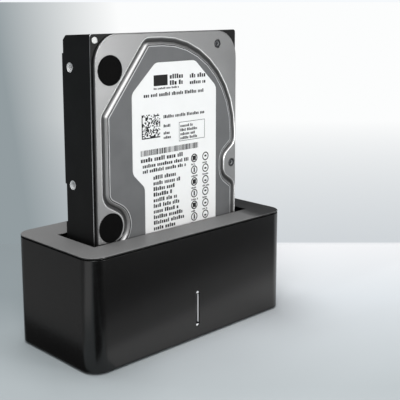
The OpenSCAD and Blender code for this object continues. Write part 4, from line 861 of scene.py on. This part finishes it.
press_edge(-1, 0.3, 0.45 * mm, 8)
press_edge(0.5, 0.95, 0.3 * mm, 3)
# Painted highlight: the flange's rounded crests picked above take the bright crest finish.
for part in cover.data.polygons:
    part.material_index = 2 if part.select else 0
round_edges(cover, 0.14 * mm, 2, 14)
sheet_satin = grained(
    "sheet_satin", linear(151, 151, 151), linear(161, 161, 161),
    rough=0.42, grain=0.25 * mm, depth=0.006 * mm, metal=1.0, cloud=20 * mm, stretch=(0.25, 1, 1),
)
# Painted highlight and painted shade: the channel and the dimples are painted lighter high on
# their walls and darker towards their floors, by depth.
channel_shade_and_highlight = finish("channel_shade_and_highlight", linear(150, 150, 150), 0.45, 1.0)
tree = channel_shade_and_highlight.node_tree
groove = tree.nodes.new("ShaderNodeSeparateXYZ")
tree.links.new(pattern_place(channel_shade_and_highlight), groove.inputs["Vector"])
sunk = tree.nodes.new("ShaderNodeMapRange")
sunk.inputs["From Min"].default_value = flange_y
sunk.inputs["From Max"].default_value = groove_y
tree.links.new(groove.outputs["Y"], sunk.inputs["Value"])
tint(
    channel_shade_and_highlight,
    sunk.outputs["Result"],
    (0.15, linear(196, 196, 196)),
    (0.5, linear(128, 128, 128)),
    (1.0, linear(90, 90, 90)),
)
relief(channel_shade_and_highlight, speckle(channel_shade_and_highlight, 0.25 * mm), 0.006 * mm)
# Painted highlight along the flange's rounded crests.
crest_highlight = grained(
    "crest_highlight", linear(240, 240, 239), linear(248, 248, 247),
    rough=0.35, grain=0.25 * mm, depth=0.004 * mm, metal=1.0,
)
for made in (sheet_satin, channel_shade_and_highlight, crest_highlight):
    cover.data.materials.append(made)
for part in cover.data.polygons:
    depth = part.center.y
    sunken = flange_y + 0.1 * mm < depth < groove_y + 0.05 * mm
    if sunken and part.material_index != 2:
        part.material_index = 1
set_in(cover, sheet_satin, "drive", "cover_sheet", "drive_cover")


# Damping foil: a soft grey metal foil stuck on the cover's raised middle. A bright rim along
# its cut edge is a painted highlight, and a dark film just below it, which shows as a fine
# line all round, is a painted shadow.
def pick_front_back(piece):
    pick(piece, "FACE", lambda p: False)
    bpy.ops.object.mode_set(mode="OBJECT")
    for part in piece.data.polygons:
        part.select = abs(part.normal.y) > 0.9
    bpy.ops.object.mode_set(mode="EDIT")


highlight_w = 0.45 * mm
shadow_out, shadow_t = 0.5 * mm, 0.04 * mm
foil_grey = grained(
    "foil_grey", linear(106, 107, 108), linear(114, 115, 116),
    rough=0.55, grain=0.4 * mm, depth=0.008 * mm, metal=0.4, cloud=15 * mm,
)
foil_rim_highlight = grained(
    "foil_rim_highlight", linear(186, 187, 188), linear(204, 205, 206),
    rough=0.4, grain=0.2 * mm, depth=0.002 * mm, metal=0.8,
)
foil_low, foil_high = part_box("damper_foil")
foil = merged_copy("damper_foil", "damper_foil_sheet")
foil.data.materials.append(foil_grey)
foil.data.materials.append(foil_rim_highlight)
# Painted highlight: a bright rim inset along the foil's front edge.
pick(foil, "FACE", lambda p: p.y < foil_low.y + 0.001 * mm)
bpy.ops.mesh.inset(thickness=highlight_w)
bpy.ops.object.mode_set(mode="OBJECT")
for part in foil.data.polygons:
    part.material_index = 0 if part.select else 1
smooth(foil)
set_in(foil, foil_grey, "drive", "foil_grey", "damper_foil")
# Painted shadow: a dark film just wider than the foil shows as a fine dark line round its edge.
film = merged_copy("damper_foil", "foil_shadow_line")
pick_front_back(film)
bpy.ops.mesh.delete(type="ONLY_FACE")
bpy.ops.mesh.select_all(action="SELECT")
bpy.ops.transform.shrink_fatten(value=shadow_out, use_even_offset=True)
bpy.ops.object.mode_set(mode="OBJECT")
for vertex in film.data.vertices:
    vertex.co.y = max(vertex.co.y, foil_high.y - shadow_t)
for side in (foil_high.y - shadow_t, foil_high.y):
    pick(film, "EDGE", lambda p: abs(p.y - side) < 0.001 * mm)
    bpy.ops.mesh.edge_face_add()
    bpy.ops.object.mode_set(mode="OBJECT")
bpy.ops.object.mode_set(mode="EDIT")
bpy.ops.mesh.select_all(action="SELECT")
bpy.ops.mesh.normals_make_consistent(inside=False)
bpy.ops.object.mode_set(mode="OBJECT")
smooth(film)
shadow_line_finish = grained(
    "shadow_line_dark", linear(34, 34, 35), linear(46, 46, 47),
    rough=0.6, grain=0.3 * mm, depth=0.002 * mm,
)
set_in(film, shadow_line_finish, "drive", "foil_grey")

# Seal discs: round stickers of black laminate over two of the cover's screws, stuck on last
# so that the drive can't be opened unseen.
seal_black = grained(
    "seal_black", linear(2, 2, 2), linear(4, 4, 4),
    rough=0.7, grain=0.3 * mm, depth=0.002 * mm,
)
sheen(seal_black, 0.1)
dress("seal_discs", "seal_disc_stickers", 0.08 * mm, seal_black, "drive", "seal_black")

# Cover screws: dark zinc-plated steel with a deep six-lobe recess, one in each dimple of the
# cover, threaded into the tub. The recess's walls are painted bright as a painted highlight.
cover_zinc = grained(
    "cover_zinc", linear(62, 63, 65), linear(84, 85, 87),
    rough=0.4, grain=0.12 * mm, depth=0.003 * mm, metal=1.0,
)
recess_highlight = grained(
    "recess_highlight", linear(216, 217, 218), linear(236, 236, 236),
    rough=0.45, grain=0.2 * mm, depth=0.002 * mm, metal=0.5,
)
low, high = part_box("cover_screws")
head_t, head_h = (low.y - drive_corner.y) / mm, 0.6 * mm
recess_r, recess_h = 1.1 * mm, 0.8 * mm
lobe = screw(
    "cover_screws_lobe",
    2.05 * mm,
    head_h,
    1.2 * mm,
    high.y - low.y - head_h,
    arms=6,
    keep=16,
    waist=0.72,
    recess_r=recess_r,
    recess_h=recess_h,
)
lobe.data.materials.append(cover_zinc)
lobe.data.materials.append(recess_highlight)
# Painted highlight: the walls of each screw's recess are painted bright.
for part in lobe.data.polygons:
    middle = part.center
    in_recess = math.hypot(middle.x, middle.y) < recess_r + 0.02 * mm
    if in_recess and 0.05 * mm < middle.z < recess_h - 0.1 * mm:
        part.material_index = 1
cover_screws = screw_set(lobe, [on_drive(u, head_t, v) for u, v in cover_spots], math.radians(90))
set_in(cover_screws, cover_zinc, "drive", "dark_screw", "cover_screws")

# Corner pin: a short white nylon dowel pressed into the casting's corner, outside the
# cover's rounded outline.
dowel_white = grained(
    "dowel_white", linear(236, 236, 234), linear(246, 246, 244),
    rough=0.3, grain=0.2 * mm, depth=0.002 * mm,
)
dress("corner_pin", "corner_pin_dowel", 0.3 * mm, dowel_white, "drive", "pin_steel")

# Label: white coated paper with a slanted top and a stepped left side, die-cut and stuck on
# the foil.
paper_white = grained(
    "paper_white", linear(251, 251, 250), linear(254, 254, 253),
    rough=0.5, grain=0.35 * mm, depth=0.002 * mm,
)
paint("drive_label", paper_white)

# Label print: black ink in plain rows, stripes, cells and rings that spell nothing. Each
# mark is a thin film on the paper.
ink = random.Random(11)
film_t = 0.03
print_left = 1.3
drive_top = 147


def mark_box(u0, w0, u1, w1):
    """One mark from its left and upper edge to its right and lower one."""
    middle = on_drive((u0 + u1) / 2 - print_left, -film_t / 2, drive_top - (w0 + w1) / 2)
    return {"location": middle, "scale": ((u1 - u0) * mm, film_t * mm, (w1 - w0) * mm)}


def mark(*edges):
    bpy.ops.mesh.primitive_cube_add(size=1, **mark_box(*edges))


def row(u0, u1, w, height):
    """A row of strokes in word groups, about as dense as small print."""
    u = u0
    while u < u1:
        for _ in range(ink.randint(3, 8)):
            width = ink.uniform(0.34, 0.6) * height
            if u + width > u1:
                break
            tall = ink.choice((0.76, 0.76, 1.0))
            mark(u, w + height * (1 - tall), u + width, w + height)
            u += width + 0.2 * height
        u += 0.5 * height


def frame_box(u0, w0, u1, w1, line):
    mark(u0, w0, u1, w0 + line)
    mark(u0, w1 - line, u1, w1)
    mark(u0, w0 + line, u0 + line, w1 - line)
    mark(u1 - line, w0 + line, u1, w1 - line)


bpy.ops.object.select_all(action="DESELECT")
mark(39.4, 22.0, 49.0, 27.6)
print_marks = bpy.context.object
print_marks.name = "label_print"
bpy.ops.object.transform_apply(location=True, rotation=True, scale=True)
bpy.ops.object.mode_set(mode="EDIT")
row(50.6, 61.4, 22.0, 2.4)
row(50.6, 60.2, 25.3, 2.4)
row(65.0, 77.0, 22.4, 2.4)
row(65.0, 77.0, 26.2, 2.0)
row(39.4, 57.0, 28.4, 1.1)
row(32.6, 75.6, 31.2, 1.9)
cells = 20
cell = 12.6 / cells
cell_u, cell_w = 31, 42
for column in range(cells):
    start = None
    for line in range(cells + 1):
        edge = column == 0 or line == cells - 1
        dark = line < cells and (edge or ink.random() < 0.5)
        if dark and start is None:
            start = line
        if not dark and start is not None:
            mark(
                cell_u + column * cell,
                cell_w + start * cell,
                cell_u + (column + 0.97) * cell,
                cell_w + line * cell,
            )
            start = None
row(46.0, 76.2, 43.2, 1.7)
row(46.0, 51.4, 48.2, 1.5)
row(46.0, 50.2, 52.0, 1.5)
row(46.0, 51.6, 54.4, 1.5)
frame_box(57.0, 48.0, 76.2, 58.4, 0.25)
for step in range(4):
    row(58.0, ink.uniform(67, 72), 49.4 + 2.2 * step, 1.5)
u = 30.2
while u < 71.2:
    stripe = ink.choice((0.3, 0.3, 0.55, 0.8))
    mark(u, 60.4, u + stripe, 63.4)
    u += stripe + ink.choice((0.3, 0.3, 0.55))
row(30.2, 61.0, 64.4, 2.3)
row(31.4, 65.0, 67.8, 1.9)
row(31.4, 63.0, 70.6, 1.9)
for step in range(10):
    row(38.6, ink.uniform(50, 62), 74.6 + 3.05 * step, 2.1)
row(37.6, 64.0, 106.4, 2.1)
signs, sign_top, sign_step = 6, 68.9, 6.6
sign_columns = (68.2, 76.8)
sign_r, sign_line = 2.4 * mm, 0.6 * mm
for step in range(signs):
    down = sign_step * step
    row(66.0, ink.uniform(69, 72), 71.8 + down, 1.0)
    row(74.6, ink.uniform(78, 80.6), 71.8 + down, 1.0)
    half = 0.5 if step % 2 else 1.3
    mark(sign_columns[0] - half, 67.6 + down, sign_columns[0] + half, 70.2 + down)
    bar_top = 68.2 + (step % 3) * 0.4 + down
    mark(76.0, bar_top, 77.6, bar_top + 1)
bpy.ops.object.mode_set(mode="OBJECT")
bpy.ops.object.select_all(action="DESELECT")
bpy.ops.mesh.primitive_cylinder_add(
    vertices=40, radius=sign_r, depth=film_t * mm, rotation=(math.radians(90), 0, 0)
)
ring = bpy.context.object
bpy.ops.object.transform_apply(location=True, rotation=True, scale=True)
pick_front_back(ring)
bpy.ops.mesh.inset(thickness=sign_line, use_individual=True)
bpy.ops.mesh.bridge_edge_loops()
bpy.ops.object.mode_set(mode="OBJECT")
ring_places = [
    on_drive(u - print_left, -film_t / 2, drive_top - sign_top - sign_step * step)
    for step in range(signs)
    for u in sign_columns
]
rings = lay_out(ring, ring_places)
activate(print_marks)
rings.select_set(True)
bpy.ops.object.join()
ink_black = grained(
    "ink_black", linear(5, 5, 5), linear(9, 9, 9),
    rough=0.7, grain=0.2 * mm, depth=0.001 * mm,
)
set_in(print_marks, ink_black, "drive", "seal_black")

# Drive board: green fibreglass on the drive's back, its chips turned inwards. Gold test
# pads dot its outer face, and four screws hold it.
drive_board_mask = board_green("drive_board_mask", True)
dress("drive_board", "drive_board_sheet", 0.1 * mm, drive_board_mask, "drive", "board_green")
paint("drive_chips", chip_black)
back_low, back_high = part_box("drive_board_screws")
head_r = 2.4 * mm
back_spots = [
    (x, back_high.y, z)
    for x in (back_low.x + head_r, back_high.x - head_r)
    for z in (back_low.z + head_r, back_high.z - head_r)
]
back_screw = screw(
    "drive_board_screws_lobe",
    head_r,
    0.8 * mm,
    1.2 * mm,
    4.7 * mm,
    arms=6,
    keep=16,
    waist=0.72,
    recess_r=1.3 * mm,
    recess_h=0.48 * mm,
)
board_screws = screw_set(back_screw, back_spots, math.radians(-90))
set_in(board_screws, zinc, "drive", "screw_steel", "drive_board_screws")
pad_t, pad_count = 0.08 * mm, 46
pad_seed = random.Random(5)
pad_places = {}
for _ in range(pad_count):
    place = on_drive(pad_seed.uniform(15, 86), 25.1, pad_seed.uniform(14, 72))
    pad_places.setdefault(pad_seed.choice((0.45, 0.6, 0.8)), []).append(place)
pad_sets = []
for radius, places in pad_places.items():
    bpy.ops.object.select_all(action="DESELECT")
    bpy.ops.mesh.primitive_cylinder_add(
        vertices=20, radius=radius * mm, depth=pad_t, rotation=(math.radians(90), 0, 0)
    )
    pad = bpy.context.object
    pad.name = "drive_board_pads"
    bpy.ops.object.transform_apply(location=True, rotation=True, scale=True)
    round_edges(pad, 0.02 * mm, 2)
    pad_sets.append(lay_out(pad, places))
pads = pad_sets[0]
activate(pads)
for pad_set in pad_sets:
    pad_set.select_set(True)
bpy.ops.object.join()
pads.name = "drive_board_pads"
set_in(pads, contact_gold, "drive", "contact_gold")

# Drive plug: a black moulded plug with two tongues and their gold contacts, at the board's
# lower edge.
dress("drive_plug", "drive_plug_block", 0.12 * mm, chute_black, "drive", "inner_black")
paint("plug_contacts", contact_gold)

low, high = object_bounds()
